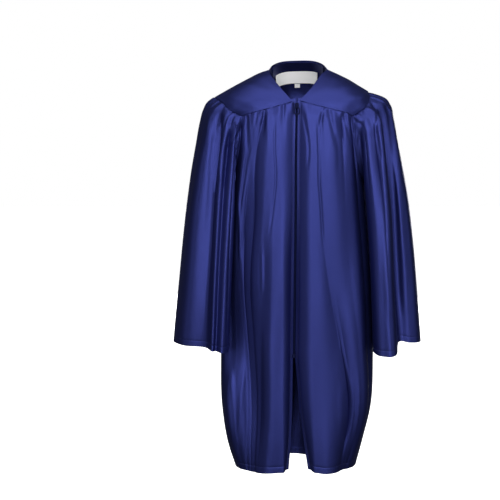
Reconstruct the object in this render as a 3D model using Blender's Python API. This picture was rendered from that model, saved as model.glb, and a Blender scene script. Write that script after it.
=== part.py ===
"""A child's graduation gown of shiny cloth, filled out as it is when worn, with nobody in it.

The gown hangs from the wearer's shoulders. The origin is between the shoulders, at the base of
the neck. +Z is up, the front faces -Y, and +X is the wearer's left. Every size below is in
millimetres, and make_object turns it into metres.

Each cut piece is a wall of cloth. Its outer face is a grid of points: a smooth girth at each
height, moved in and out by a table of folds. Front, back and sleeves hang from the yoke.
"""

import bpy
import numpy as np

MM = 0.001

WALL = 1.6
SEAM = 0.3
EDGE_BEVEL = 1.0
LABEL_WALL = 1.0

# An edge is drawn in by no more than this share of the cell beside it
TRIM_LIMIT = 0.45
SHARP_ANGLE = 50.0

# Heights
YOKE_FRONT_CENTRE = -27.5
YOKE_BACK_SEAM = -66.0
YOKE_FRONT_CORNER = -57.0
UNDERARM = -185.0
ZIP_TOP = -33.0
ZIP_END = -500.0
HEM = -711.0

# The share of the girth from the centre to the side at which the armhole meets the yoke, and the
# stretch of the front seam before that corner in which the seam runs down to it
ARM_CORNER = 0.63
CORNER_RUN = 14.0

# Clearance of the sleeve's inner side from the body, how far it stands off at the seam, and how
# fast it opens below the seam
SLEEVE_CLEARANCE = 8.5
SLEEVE_SEAM_LIFT = 1.4
SLEEVE_OPENING = 0.6

# How fine the grids of points are. Rows lie closer near the seams: their even shares of the
# length are raised to a power.
COLUMNS_PER_FOLD = 3
SLEEVE_COLUMNS_PER_FOLD = 2
BODY_ROWS = 15
BODY_ROW_POWER = 1.3
SLEEVE_ROWS = 13
SLEEVE_ROW_POWER = 1.5
YOKE_ROWS = 9
FRONT_YOKE_COLUMNS = 13
BACK_YOKE_COLUMNS = 29
ZIP_RINGS = 22
NECK_BAND_COLUMNS = 17
LABEL_COLUMNS = 13
SIZE_LABEL_COLUMNS = 4
LABEL_LINES = 5

# How many points girths and seams are measured with
GIRTH_SAMPLES = 160
ROUTE_SAMPLES = 400
ARM_EDGE_POINTS = 20
ARMHOLE_POINTS = 24

# The girth of the body: half its width on the wearer's right and left, how far it comes forward
# and back, and how square it is, where 2 is an ellipse
BODY_COLUMNS = ("height", "right", "left", "front", "back", "square")
BODY_GIRTHS = (
    (60, 112, 112, 66, 66, 4.5),
    (-30, 112, 112, 67, 68, 4.5),
    (-60, 113, 113, 69, 70, 4.4),
    (-120, 114, 114, 72, 72, 3.8),
    (-200, 121, 121, 74, 73, 3.2),
    (-350, 132, 132, 75, 74, 2.8),
    (-500, 139, 140, 76, 74, 2.7),
    (-600, 138, 137, 77, 73, 2.9),
    (-660, 129, 123, 77, 72, 3.2),
    (-711, 114, 109, 76, 71, 3.6),
)

# The heights that the columns of the fold tables stand for. The first is the yoke's seam.
LEVELS = (-40, -110, -215, -350, -465, -580, -711)

# How far the zip's line lies from the middle, and how deep in the centre fold, at each height
ZIP_COLUMNS = ("height", "x", "depth")
ZIP_LINE = (
    (-20, -1.0, -2.5),
    (-60, -1.6, -3.5),
    (-118, -2.7, -6.0),
    (-215, -3.2, -9.0),
    (-350, -4.6, -14.0),
    (-500, -6.4, -18.0),
)
ZIP_HALF_GAP = 2.0

# The welt beside the zip: how wide it is, and how far its outer side stands out at each level
WELT = 5.5
WELT_DEPTHS = (0.5, 1.5, 2.5, 4.5, 4.5, 4.0, 3.0)

# Below the zip the fronts hang apart: how far round each edge lies, and how deep in the fold
SLIT_COLUMNS = ("height", "right", "left", "depth")
SLIT_EDGES = (
    (-500, 8.4, -4.4, -18.0),
    (-580, 9.6, 2.6, -17.5),
    (-630, 11.2, 8.2, -16.5),
    (-675, 13.4, 14.0, -15.0),
    (-711, 16.2, 19.2, -13.0),
)

# Folds fade out at the yoke's seam within this share of a panel's length
SEAM_SHARE = 0.03

# How far the hem dips below its line: at the slit's edge and beside it it lifts. The dips grow
# with this power of the share of the length.
SLIT_DIPS = (-4, -3)
DIP_POWER = 6

# Folds of the fronts, from the zip outwards: how far each lies round the girth from the middle
# at each level, how far it stands out there, and how far the hem dips at it
FOLD_COLUMNS = ("name", "places", "depths", "dip")
RIGHT_FRONT_FOLDS = (
    ("plateau edge", (22, 32, 30, 27, 27, 28, 26), (2, 3, 1, 3, -1, -2.5, -4), 1),
    ("plateau side", (38, 44, 44, 46, 48, 49, 58), (3, 3, 1, 3, 2, 0, -1), 2),
    ("second ridge", (49, 53, 61, 66, 66, 67, 75), (3.5, 2.5, 0, -2, -6.5, -9, -6), 3),
    ("great valley", (61, 76, 81, 90, 83, 78, 84), (-1, -4, -7, -10, -13, -15, -11), 3),
    ("valley side", (71, 85, 100, 105, 97, 90, 94), (1, -2, -7, -11, -15, -16, -13), 3),
    ("outer ridge", (80, 94, 107, 114, 105, 100, 104), (1, -0.5, -1.5, -8.5, -13.5, -13, -11.5), 2),
    ("outer crease", (89, 101, 114, 124, 122, 120, 113), (1, 2, 1, -6, -11, -3.5, -7), 1),
    ("corner ridge", (95, 108, 122, 136, 136, 133, 122), (1, 1.5, 1, -3, -7.5, 4.5, -2), 0),
    ("side ridge", (101, 115, 144, 158, 161, 156, 145), (0, 0, 0, 3, 4, 4, 2), 0),
)
LEFT_FRONT_FOLDS = (
    ("plateau edge", (20, 24, 23, 25, 27, 30, 32), (3, 4, 2, 0.5, -1.5, -3, -4), 1),
    ("plateau side", (30, 31, 31, 35, 39, 45, 53), (3, 3.5, 1.5, 0, -1.5, -3, -2), 3),
    ("slanting valley", (44, 41, 42, 57, 80, 99, 86), (1, 2.5, 0.5, -3.5, -8, -11, -13), 2),
    ("second ridge", (63, 58, 58, 68, 89, 107, 97), (3, 4.5, 2, -2, -4, -2, -15), 1),
    ("mild crease", (79, 83, 88, 98, 111, 116, 108), (-4, -1, 1.5, 1.5, 3, 3, -14), 1),
    ("broad ridge", (90, 97, 102, 111, 120, 126, 119), (1, 1, 2, 3.5, 4.5, 4.5, -9), 0),
    ("side crease", (97, 112, 121, 131, 138, 147, 137), (-2, -3, -2, -1, -1, -3, -4), 0),
    ("side ridge", (101, 117, 141, 160, 166, 166, 151), (0, 0, 0, 2, 1, -1, 0), 0),
)

# Folds of the back in the same columns, from the wearer's right side to the left, placed from the
# middle of the back
BACK_FOLDS = (
    ("right side crease", (-98, -112, -146, -158, -163, -158, -142), (-1, -2, -3, -3, -3, -3, -2), 0),
    ("right side ridge", (-90, -103, -121, -133, -138, -135, -121), (0, 0, 3, 4, 5, 4, 2), 1),
    ("right outer valley", (-79, -89, -101, -110, -113, -111, -100), (-4, -8, -9, -10, -9, -8, -4), 2),
    ("right outer ridge", (-66, -74, -81, -88, -90, -89, -81), (2, 4, 5, 6, 6, 6, 3), 1),
    ("right inner valley", (-52, -57, -60, -64, -65, -66, -62), (-4, -9, -10, -9, -9, -10, -6), 2),
    ("right inner ridge", (-38, -40, -41, -42, -41, -44, -42), (1, 4, 5, 6, 6, 6, 3), 1),
    ("right centre crease", (-23, -22, -22, -21, -20, -21, -23), (-3, -4, -4, -4, -5, -4, -2), 0),
    ("centre ridge", (-5, -3, -2, 0, 2, 3, 0), (1, 4, 5, 5, 5, 5, 3), 1),
    ("left centre crease", (14, 17, 18, 20, 22, 24, 20), (-4, -7, -9, -9, -8, -7, -4), 2),
    ("left inner ridge", (31, 35, 38, 41, 44, 46, 41), (1, 4, 5, 5, 6, 6, 4), 1),
    ("left inner valley", (47, 53, 58, 62, 66, 68, 61), (-4, -5, -4, -5, -7, -9, -5), 2),
    ("left outer ridge", (62, 70, 77, 84, 89, 90, 80), (1, 4, 5, 6, 6, 5, 3), 1),
    ("left outer valley", (77, 87, 98, 107, 113, 112, 99), (-4, -9, -10, -9, -9, -8, -4), 2),
    ("left side ridge", (90, 102, 119, 132, 138, 135, 119), (0, 0, 3, 4, 4, 4, 2), 1),
    ("left side crease", (98, 112, 145, 158, 163, 158, 138), (-1, -2, -3, -3, -3, -3, -2), 0),
)

# Folds of a sleeve, round it from the tip of the shoulder by the front, the underarm and the
# back: the share of the armhole at which a fold starts, where it ends at the cuff, and how far
# it stands out near its head, above the elbow and below it
SLEEVE_COLUMNS = ("start", "x", "y", "z", "head", "upper", "lower")
RIGHT_SLEEVE_FOLDS = (
    (0.000, -231, 6, -478, 0, 0, 0),
    (0.035, -225, -21, -478, 1, 0, 0),
    (0.070, -206, -44, -479, 3, 3, 2),
    (0.105, -171, -54, -480, -6, -8, -6),
    (0.135, -157, -73, -484, 3, 2, 1),
    (0.160, -149, -66, -485, -4, -2, -1),
    (0.190, -139, -74, -487, 3, 4, 3),
    (0.215, -131, -69, -487, -3, -2, -1),
    (0.250, -126, -58, -486, 1, 3, 2),
    (0.330, -132, -38, -486, 0, -1, -1),
    (0.420, -144, -15, -487, 0, 1, 1),
    (0.500, -149, 3, -487, 0, 0, 0),
    (0.580, -145, 22, -487, 0, 1, 1),
    (0.670, -136, 41, -486, 0, -1, -1),
    (0.750, -131, 58, -485, 1, 3, 2),
    (0.790, -145, 52, -484, -4, -6, -4),
    (0.830, -158, 70, -483, 3, 3, 2),
    (0.870, -176, 54, -481, -5, -6, -5),
    (0.905, -195, 61, -480, 3, 3, 2),
    (0.940, -210, 42, -479, -4, -4, -3),
    (0.970, -225, 30, -478, 2, 2, 1),
)
LEFT_SLEEVE_FOLDS = (
    (0.000, 230, 6, -478, 0, 0, 0),
    (0.035, 224, -16, -478, 2, 1, 0),
    (0.070, 207, -25, -477, 1, -1, -1),
    (0.100, 188, -27, -475, -7, -8, -6),
    (0.125, 182, -64, -490, 3, 3, 1),
    (0.145, 172, -75, -494, -4, -4, -2),
    (0.175, 160, -74, -494, 3, 3, 2),
    (0.205, 148, -69, -493, -1, 1, 1),
    (0.240, 140, -54, -490, 1, 2, 1),
    (0.320, 139, -37, -488, 0, -1, -1),
    (0.410, 146, -16, -487, 0, 1, 1),
    (0.500, 150, 3, -487, 0, 0, 0),
    (0.590, 147, 22, -487, 0, 1, 1),
    (0.670, 138, 42, -486, 0, -1, -1),
    (0.750, 133, 59, -485, 1, 3, 2),
    (0.790, 150, 53, -484, -4, -6, -4),
    (0.830, 163, 70, -483, 3, 3, 2),
    (0.870, 180, 55, -481, -5, -6, -5),
    (0.905, 197, 61, -480, 3, 3, 2),
    (0.940, 209, 42, -479, -4, -4, -3),
    (0.970, 223, 29, -478, 2, 2, 1),
)
SLEEVE_DEPTH_LEVELS = (0.0, 0.08, 0.35, 0.68, 1.0)

# How far across from the armhole to the cuff a sleeve has come, at each share of its length
SPREAD_COLUMNS = ("length", "right", "left")
SLEEVE_SPREAD = (
    (0.00, 0.00, 0.00),
    (0.02, 0.16, 0.27),
    (0.05, 0.26, 0.40),
    (0.10, 0.34, 0.455),
    (0.19, 0.44, 0.53),
    (0.28, 0.54, 0.62),
    (0.42, 0.66, 0.74),
    (0.60, 0.78, 0.84),
    (0.79, 0.89, 0.92),
    (1.00, 1.00, 1.00),
)

# Edges of the yoke, as (x, y, z): the neckline from the zip to the shoulder, the shoulder from
# the neck to its tip, and the arm edge from the tip towards the corner
RIGHT_YOKE = {
    "neck": ((-28, -51, -9), (-38, -38, 2), (-48, -20, 15), (-52, 2, 23.5)),
    "shoulder": ((-70, 2, 17.5), (-88, 2, 8.5), (-120, 3, -8.5), (-151, 3, -26)),
    "front arm": ((-136, -26, -34), (-121, -47, -47)),
    "back arm": ((-138, 28, -35), (-122, 49, -49)),
    "first": 9.0,
}
LEFT_YOKE = {
    "neck": ((24, -47, -7.5), (36.5, -28, 8), (43, -17, 16), (55, 2, 24)),
    "shoulder": ((78, 2, 13.5), (95, 2, 5), (108, 3, -3), (129, 3, -15.5)),
    "front arm": ((130, -26, -28), (123, -46, -41)),
    "back arm": ((132, 28, -30), (124, 49, -46)),
    "first": 4.0,
}
BACK_NECK = ((-45, 24, 31.5), (-32, 38, 36.5), (0, 46, 39), (32, 38, 38), (46, 22, 33))
YOKE_FRONT_SLOPES = {"right": 0.278, "left": 0.255}

# A point below the yoke that its cloth faces away from, and how far it rounds out between edges
YOKE_CENTRE = (0.0, 0.0, -200.0)
FRONT_YOKE_BULGE = 9.0
BACK_YOKE_BULGE = 8.0
FRONT_YOKE_OUTWARD = (0, -1, 0.8)
BACK_YOKE_OUTWARD = (0, 1, 0.8)
BULGE_POWER = 0.8

# Labels inside the back of the neck
LABEL_GAP = 0.45
NECK_BAND_X = (-45.5, 48.0)
NECK_BAND_ROWS = (0.985, 0.765)
LABEL_X = (-40.0, 37.0)
LABEL_ROWS = (0.76, 0.52)
SIZE_LABEL_X = (-5.5, 4.5)
SIZE_LABEL_ROWS = (0.51, 0.44)

# Zip
TAPE_WIDTH = 15.0
TAPE_THICKNESS = 0.8
COIL_WIDTH = 2.8
COIL_PROUD = 0.3
SLIDER = {"width": 7.4, "height": 10.0, "plate": 1.5, "gap": 0.9, "z": -38.5}
BRIDGE = {"width": 2.0, "height": 7.0, "inside": 2.2, "thick": 0.9, "lift": 0.1}
PULL = {"width": 11.0, "length": 16.5, "bar": 1.1, "side": 2.4, "end": 3.0}
PULL_SHAPE = {"play": 0.9, "shoulder": 6.0, "corner": 3.0, "slot corner": 1.0}
STOP = {"width": 5.0, "height": 6.0, "depth": 2.2, "above end": 2.0, "rounding": 0.5}

COLOURS = {
    "cloth": (0.024, 0.036, 0.205, 1.0),
    "tape": (0.010, 0.014, 0.060, 1.0),
    "label": (0.86, 0.87, 0.88, 1.0),
}
ROUGHNESS = {"cloth": 0.36, "tape": 0.5, "label": 0.6}


def smooth(knots, values, at):
    """Reads a smooth curve through the knots. Values may be numbers or points, one a knot."""
    knots = np.asarray(knots, float)
    values = np.asarray(values, float)
    at = np.clip(np.asarray(at, float), knots[0], knots[-1])
    slopes = np.gradient(values, knots, axis=0)
    i = np.clip(np.searchsorted(knots, at) - 1, 0, len(knots) - 2)
    step = knots[i + 1] - knots[i]
    t = (at - knots[i]) / step
    if values.ndim > 1:
        t, step = t[..., None], step[..., None]
    start = (2 * t**3 - 3 * t**2 + 1) * values[i] + (t**3 - 2 * t**2 + t) * step * slopes[i]
    end = (3 * t**2 - 2 * t**3) * values[i + 1] + (t**3 - t**2) * step * slopes[i + 1]
    return start + end


def column(table, names, name):
    return np.array([row[names.index(name)] for row in table])


def falling(table, names, name, height):
    """A column of a table whose heights fall, read at any height."""
    return smooth(-column(table, names, "height"), column(table, names, name), -np.asarray(height))


def ease(t):
    t = np.clip(t, 0, 1)
    return t * t * (3 - 2 * t)


def unit(vectors):
    return vectors / np.maximum(np.linalg.norm(vectors, axis=-1, keepdims=True), 1e-9)


def girth(side, face, height):
    """Half width, half depth and squareness of the body's quarter at a height."""
    across = falling(BODY_GIRTHS, BODY_COLUMNS, side, height)
    along = falling(BODY_GIRTHS, BODY_COLUMNS, face, height)
    return across, along, falling(BODY_GIRTHS, BODY_COLUMNS, "square", height)


def quarter(side, face, height):
    """The quarter of the girth from the middle to the side, with the distance along it."""
    across, along, square = girth(side, face, height)
    turn = np.linspace(0, np.pi / 2, GIRTH_SAMPLES)
    x = across * np.sin(turn) ** (2 / square)
    y = along * np.cos(turn) ** (2 / square)
    steps = np.hypot(np.diff(x), np.diff(y))
    return x, y, np.concatenate([[0], np.cumsum(steps)])


def quarter_length(side, face, height):
    return quarter(side, face, height)[2][-1]


def body_point(side, face, height, place, depth=0.0):
    """A point of the body's cloth: place millimetres round from the middle, depth outwards."""
    x, y, along = quarter(side, face, height)
    across_half, along_half, square = girth(side, face, height)
    px = np.interp(place, along, x) if place > 0 else place
    py = np.interp(max(place, 0), along, y)
    nx = np.sign(px) * abs(px / across_half) ** (square - 1) / across_half
    ny = abs(py / along_half) ** (square - 1) / along_half
    size = np.hypot(nx, ny)
    px += depth * nx / size
    py += depth * ny / size
    return np.array(
        [px * (1 if side == "left" else -1), py * (1 if face == "back" else -1), height]
    )


def armhole_share(height, corner):
    """The share of the quarter girth that a panel covers beside the armhole: 1 below it."""
    drop = np.clip((corner - height) / (corner - UNDERARM), 0, 1)
    return ARM_CORNER + (1 - ARM_CORNER) * (1 - np.sqrt(1 - drop**2))


def panel_edge(side, face, height):
    corner = YOKE_FRONT_CORNER if face == "front" else YOKE_BACK_SEAM
    return quarter_length(side, face, height) * armhole_share(height, corner)


def zip_at(height):
    """Where the zip's line runs, and how deep."""
    x = falling(ZIP_LINE, ZIP_COLUMNS, "x", height)
    depth = falling(ZIP_LINE, ZIP_COLUMNS, "depth", height)
    return x, depth


def front_opening(side, height):
    """Place and depth of a front's inner edge: beside the zip, and parted below it."""
    x, depth = zip_at(height)
    closed = (x if side == "left" else -x) + ZIP_HALF_GAP
    parted = falling(SLIT_EDGES, SLIT_COLUMNS, side, height)
    parted_depth = falling(SLIT_EDGES, SLIT_COLUMNS, "depth", height)
    below = np.asarray(height) < ZIP_END
    return np.where(below, parted, closed), np.where(below, parted_depth, depth)


def front_seam_height(side, place):
    """The height of the yoke's front seam, which runs a little lower into its corner."""
    corner_place = quarter_length(side, "front", YOKE_FRONT_CORNER) * ARM_CORNER
    place = np.clip(np.abs(place), 0, corner_place)
    height = YOKE_FRONT_CENTRE - YOKE_FRONT_SLOPES[side] * place
    last = YOKE_FRONT_CENTRE - YOKE_FRONT_SLOPES[side] * corner_place
    return height + (YOKE_FRONT_CORNER - last) * ease((place - corner_place) / CORNER_RUN + 1)


def between_folds(values, steps, eased=True):
    """Values at the folds, filled in between them: eased for depths, straight for places."""
    count = (len(values) - 1) * steps + 1
    at = np.arange(count) / steps
    i = np.minimum(at.astype(int), len(values) - 2)
    t = at - i
    if eased:
        t = ease(t)
    values = np.asarray(values, float)
    return values[i] + (values[i + 1] - values[i]) * t


def front_panel(side, rows, steps):
    """Outer points of a front, one row for each height and columns from the zip to the side."""
    folds = RIGHT_FRONT_FOLDS if side == "right" else LEFT_FRONT_FOLDS
    grid = []
    dips = [*SLIT_DIPS, *column(folds, FOLD_COLUMNS, "dip"), 0]
    for share in np.linspace(0, 1, rows + 1) ** BODY_ROW_POWER:
        level = YOKE_FRONT_CENTRE + (HEM - YOKE_FRONT_CENTRE) * share
        soft = ease(share / SEAM_SHARE)
        inner, inner_depth = front_opening(side, level)
        welt = smooth(-np.array(LEVELS), WELT_DEPTHS, -level)
        edge = panel_edge(side, "front", YOKE_FRONT_CORNER + (HEM - YOKE_FRONT_CORNER) * share)
        places = [smooth(-np.array(LEVELS), fold[1], -level) for fold in folds]
        depths = [smooth(-np.array(LEVELS), fold[2], -level) * soft for fold in folds]
        at = between_folds([inner, inner + WELT, *places, edge], steps, eased=False)
        out = between_folds([inner_depth, inner_depth + welt, *depths, -soft], steps)
        top = front_seam_height(side, at)
        down = top + (HEM - top) * share - between_folds(dips, steps) * share**DIP_POWER
        points = zip(at, out, down)
        grid.append([body_point(side, "front", height, place, depth) for place, depth, height in points])
    return np.array(grid)


def back_panel(rows, steps):
    """Outer points of the back, with columns from the wearer's right side to the left."""
    grid = []
    dips = [0, *column(BACK_FOLDS, FOLD_COLUMNS, "dip"), 0]
    for share in np.linspace(0, 1, rows + 1) ** BODY_ROW_POWER:
        height = YOKE_BACK_SEAM + (HEM - YOKE_BACK_SEAM) * share
        soft = ease(share / SEAM_SHARE)
        places = [smooth(-np.array(LEVELS), fold[1], -height) for fold in BACK_FOLDS]
        depths = [smooth(-np.array(LEVELS), fold[2], -height) * soft for fold in BACK_FOLDS]
        right, left = (panel_edge(side, "back", height) for side in ("right", "left"))
        at = between_folds([-right, *places, left], steps, eased=False)
        out = between_folds([-soft, *depths, -soft], steps)
        down = height - between_folds(dips, steps) * share**DIP_POWER
        line = []
        for place, depth, low in zip(at, out, down):
            side = "left" if place > 0 else "right"
            line.append(body_point(side, "back", low, abs(place), depth))
        grid.append(line)
    return np.array(grid)


def route(points, count):
    """Evenly spaced points on a smooth curve through a few."""
    points = np.asarray(points, float)
    along = np.concatenate([[0], np.cumsum(np.linalg.norm(np.diff(points, axis=0), axis=1))])
    dense = smooth(along, points, np.linspace(0, along[-1], ROUTE_SAMPLES))
    length = np.concatenate([[0], np.cumsum(np.linalg.norm(np.diff(dense, axis=0), axis=1))])
    at = np.linspace(0, length[-1], count)
    return np.stack([np.interp(at, length, dense[:, axis]) for axis in range(3)], axis=1)


def yoke_corner(side, face):
    height = YOKE_FRONT_CORNER if face == "front" else YOKE_BACK_SEAM
    place = quarter_length(side, face, height) * ARM_CORNER
    return body_point(side, face, height, place)


def arm_edge(side, face, count):
    """The yoke's edge at the sleeve, from its lower corner to the tip of the shoulder."""
    yoke = RIGHT_YOKE if side == "right" else LEFT_YOKE
    tip = yoke["shoulder"][-1]
    points = [yoke_corner(side, face), *reversed(yoke[face + " arm"]), tip]
    return route(points, count)


def patch(bottom, top, first, last, bulge, outward):
    """A surface inside four edges. Rows go from bottom to top, columns from first to last."""
    u = np.linspace(0, 1, len(bottom))[None, :, None]
    v = np.linspace(0, 1, len(first))[:, None, None]
    ruled = (1 - v) * bottom[None] + v * top[None] + (1 - u) * first[:, None] + u * last[:, None]
    corners = (1 - u) * (1 - v) * bottom[0] + u * (1 - v) * bottom[-1]
    corners = corners + (1 - u) * v * top[0] + u * v * top[-1]
    rise = bulge * (np.sin(np.pi * u) * np.sin(np.pi * v)) ** BULGE_POWER
    return ruled - corners + rise * unit(np.array(outward, float))


def front_yoke(side, rows, columns):
    """Outer points of half the front yoke, columns from the zip to the sleeve."""
    yoke = RIGHT_YOKE if side == "right" else LEFT_YOKE
    corner_place = quarter_length(side, "front", YOKE_FRONT_CORNER) * ARM_CORNER
    seam = []
    for place in np.linspace(yoke["first"], corner_place, columns):
        seam.append(body_point(side, "front", front_seam_height(side, place), place))
    seam = np.array(seam)
    neck = route([seam[0], *yoke["neck"]], rows)
    top = shoulder(side, columns)
    return patch(seam, top, neck, arm_edge(side, "front", rows), FRONT_YOKE_BULGE, FRONT_YOKE_OUTWARD)


def shoulder(side, count):
    """The shoulder seam, from the neck to the sleeve."""
    yoke = RIGHT_YOKE if side == "right" else LEFT_YOKE
    return route([yoke["neck"][-1], *yoke["shoulder"]], count)


def back_yoke(rows, columns):
    """Outer points of the back yoke, columns from the wearer's right sleeve to the left."""
    neck_columns = columns - 2 * (columns // 3)
    seam = []
    right, left = (quarter_length(side, "back", YOKE_BACK_SEAM) * ARM_CORNER for side in ("right", "left"))
    for place in np.linspace(-right, left, columns):
        side = "left" if place > 0 else "right"
        seam.append(body_point(side, "back", YOKE_BACK_SEAM, abs(place)))
    neck = [RIGHT_YOKE["neck"][-1], *BACK_NECK, LEFT_YOKE["neck"][-1]]
    shoulders = [shoulder(side, columns // 3 + 1) for side in ("right", "left")]
    top = [*shoulders[0][::-1], *route(neck, neck_columns)[1:-1], *shoulders[1]]
    arms = [arm_edge(side, "back", rows) for side in ("right", "left")]
    return patch(np.array(seam), np.array(top), *arms, BACK_YOKE_BULGE, BACK_YOKE_OUTWARD)


def armhole(side, shares):
    """Points of the seam round the top of a sleeve, from the shoulder by the front and underarm."""
    halves = []
    for face in ("front", "back"):
        corner = YOKE_FRONT_CORNER if face == "front" else YOKE_BACK_SEAM
        edge = list(arm_edge(side, face, ARM_EDGE_POINTS)[::-1])
        for angle in np.linspace(0, np.pi / 2, ARMHOLE_POINTS)[1:]:
            height = corner + (UNDERARM - corner) * np.sin(angle)
            place = panel_edge(side, face, height)
            edge.append(body_point(side, face, height, place))
        halves.append(edge)
    loop = np.array(halves[0] + halves[1][::-1][1:])
    length = np.concatenate([[0], np.cumsum(np.linalg.norm(np.diff(loop, axis=0), axis=1))])
    at = np.asarray(shares) * length[-1]
    return np.stack([np.interp(at, length, loop[:, axis]) for axis in range(3)], axis=-1)


def clear_of_body(side, points, margin):
    """Moves points out where they come nearer than the margin to the body's girth."""
    moved = points.copy()
    for i in range(len(points)):
        x, y, z = points[i]
        face = "front" if y < 0 else "back"
        across, along, square = girth(side, face, z)
        reach = (abs(x) / (across + margin[i])) ** square + (abs(y) / (along + margin[i])) ** square
        if reach < 1:
            moved[i, :2] = points[i, :2] / reach ** (1 / square)
    return moved


def around(values, steps):
    """A smooth closed curve through the values of a ring, with a number of steps a fold."""
    values = np.asarray(values, float)
    count = len(values)
    wrapped = np.concatenate([values[-3:], values, values[:4]])
    return smooth(np.arange(-3, count + 4), wrapped, np.arange(count * steps) / steps)


def sleeve(side, rows, steps):
    """Outer points of a sleeve: rings from the armhole to the cuff."""
    folds = RIGHT_SLEEVE_FOLDS if side == "right" else LEFT_SLEEVE_FOLDS
    start = column(folds, SLEEVE_COLUMNS, "start")
    starts = between_folds(np.append(start, 1.0), steps, eased=False)[:-1]
    top = armhole(side, starts)
    cuff = around(np.array([row[1:4] for row in folds]), steps)
    depth_columns = [np.zeros(len(folds))]
    depth_columns += [column(folds, SLEEVE_COLUMNS, name) for name in ("head", "upper", "lower")]
    depth_columns += [np.zeros(len(folds))]
    depths = [between_folds(np.append(values, values[0]), steps)[:-1] for values in depth_columns]
    rings = []
    for share in np.linspace(0, 1, rows + 1) ** SLEEVE_ROW_POWER:
        spread = smooth(
            column(SLEEVE_SPREAD, SPREAD_COLUMNS, "length"),
            column(SLEEVE_SPREAD, SPREAD_COLUMNS, side),
            share,
        )
        ring = top + (cuff - top) * spread
        ring[:, 2] = top[:, 2] + (cuff[:, 2] - top[:, 2]) * share
        out = smooth(SLEEVE_DEPTH_LEVELS, np.array(depths), share)
        along = np.roll(ring, -1, axis=0) - np.roll(ring, 1, axis=0)
        turn = 1 if side == "right" else -1
        outward = unit(np.stack([along[:, 1], -along[:, 0], np.zeros(len(ring))], axis=1)) * turn
        ring = ring + outward * out[:, None]
        drop = top[:, 2] - ring[:, 2]
        margin = np.minimum(SLEEVE_CLEARANCE, SLEEVE_SEAM_LIFT + SLEEVE_OPENING * drop)
        rings.append(clear_of_body(side, ring, margin))
    return np.array(rings)


def normals(grid, centre, closed):
    """Unit vectors out of the cloth, away from the centre."""
    if closed:
        across = np.roll(grid, -1, axis=1) - np.roll(grid, 1, axis=1)
    else:
        across = np.gradient(grid, axis=1)
    out = unit(np.cross(across, np.gradient(grid, axis=0)))
    sign = np.sign(np.mean(np.sum(out * (grid - centre), axis=-1)))
    return out * sign


def trimmed(grid, distance, closed):
    """The grid with its edges drawn in, never by more than part of their own cell."""

    def moved(edge, inner):
        step = inner - edge
        length = np.linalg.norm(step, axis=-1, keepdims=True)
        return edge + unit(step) * np.minimum(distance, TRIM_LIMIT * length)

    result = grid.copy()
    result[0], result[-1] = moved(grid[0], grid[1]), moved(grid[-1], grid[-2])
    if not closed:
        before = result.copy()
        result[:, 0] = moved(before[:, 0], before[:, 1])
        result[:, -1] = moved(before[:, -1], before[:, -2])
    return result


def wall_mesh(outer, inner, closed):
    """Vertices and triangles of a wall between two grids, with its edges closed."""
    rows, columns = outer.shape[:2]
    vertices = np.concatenate([outer.reshape(-1, 3), inner.reshape(-1, 3)])

    def at(layer, row, col):
        return layer * rows * columns + row * columns + col % columns

    faces = []
    cells = columns if closed else columns - 1
    for row in range(rows - 1):
        for col in range(cells):
            for layer in (0, 1):
                a, b = at(layer, row, col), at(layer, row, col + 1)
                c, d = at(layer, row + 1, col + 1), at(layer, row + 1, col)
                faces += [(a, b, c), (a, c, d)] if layer else [(c, b, a), (d, c, a)]
    for col in range(cells):
        for row, flip in ((0, False), (rows - 1, True)):
            a, b = at(0, row, col), at(0, row, col + 1)
            c, d = at(1, row, col + 1), at(1, row, col)
            faces += [(c, b, a), (d, c, a)] if flip else [(a, b, c), (a, c, d)]
    if not closed:
        for row in range(rows - 1):
            for col, flip in ((0, True), (columns - 1, False)):
                a, b = at(0, row, col), at(0, row + 1, col)
                c, d = at(1, row + 1, col), at(1, row, col)
                faces += [(c, b, a), (d, c, a)] if flip else [(a, b, c), (a, c, d)]
    return vertices, faces


def make_material(kind):
    material = bpy.data.materials.new(kind)
    material.use_nodes = True
    shader = material.node_tree.nodes["Principled BSDF"]
    shader.inputs["Base Color"].default_value = COLOURS[kind]
    shader.inputs["Roughness"].default_value = ROUGHNESS[kind]
    shader.inputs["Metallic"].default_value = 0.0
    return material


def signed_volume(vertices, faces):
    corners = vertices[np.array(faces)]
    return np.linalg.det(corners).sum() / 6


def make_object(name, vertices, faces, material, smooth_shaded=True):
    """An object from points in millimetres, its faces turned outwards."""
    vertices = np.asarray(vertices, float)
    if signed_volume(vertices, faces) < 0:
        faces = [face[::-1] for face in faces]
    mesh = bpy.data.meshes.new(name)
    mesh.from_pydata((vertices * MM).tolist(), [], faces)
    mesh.materials.append(material)
    if smooth_shaded:
        mesh.shade_smooth()
        mesh.set_sharp_from_angle(angle=np.radians(SHARP_ANGLE))
    obj = bpy.data.objects.new(name, mesh)
    bpy.context.scene.collection.objects.link(obj)
    return obj


def cloth(name, grid, centre, material, closed=False, thickness=WALL):
    """A wall of cloth from its outer points."""
    outer = trimmed(grid, SEAM / 2, closed)
    inner = trimmed(grid, EDGE_BEVEL, closed) - normals(grid, centre, closed) * thickness
    return make_object(name, *wall_mesh(outer, inner, closed), material)


def window(grid, x_range, rows, columns):
    """Part of a grid between two values of x, over a range of its rows."""
    at_rows = np.asarray(rows) * (len(grid) - 1)
    low = np.minimum(at_rows.astype(int), len(grid) - 2)
    part = at_rows - low
    picked = []
    for first, share in zip(low, part):
        row = grid[first] + (grid[first + 1] - grid[first]) * share
        x = np.linspace(*x_range, columns)
        picked.append(np.stack([np.interp(x, row[:, 0], row[:, axis]) for axis in range(3)], axis=1))
    return np.array(picked)


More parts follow.
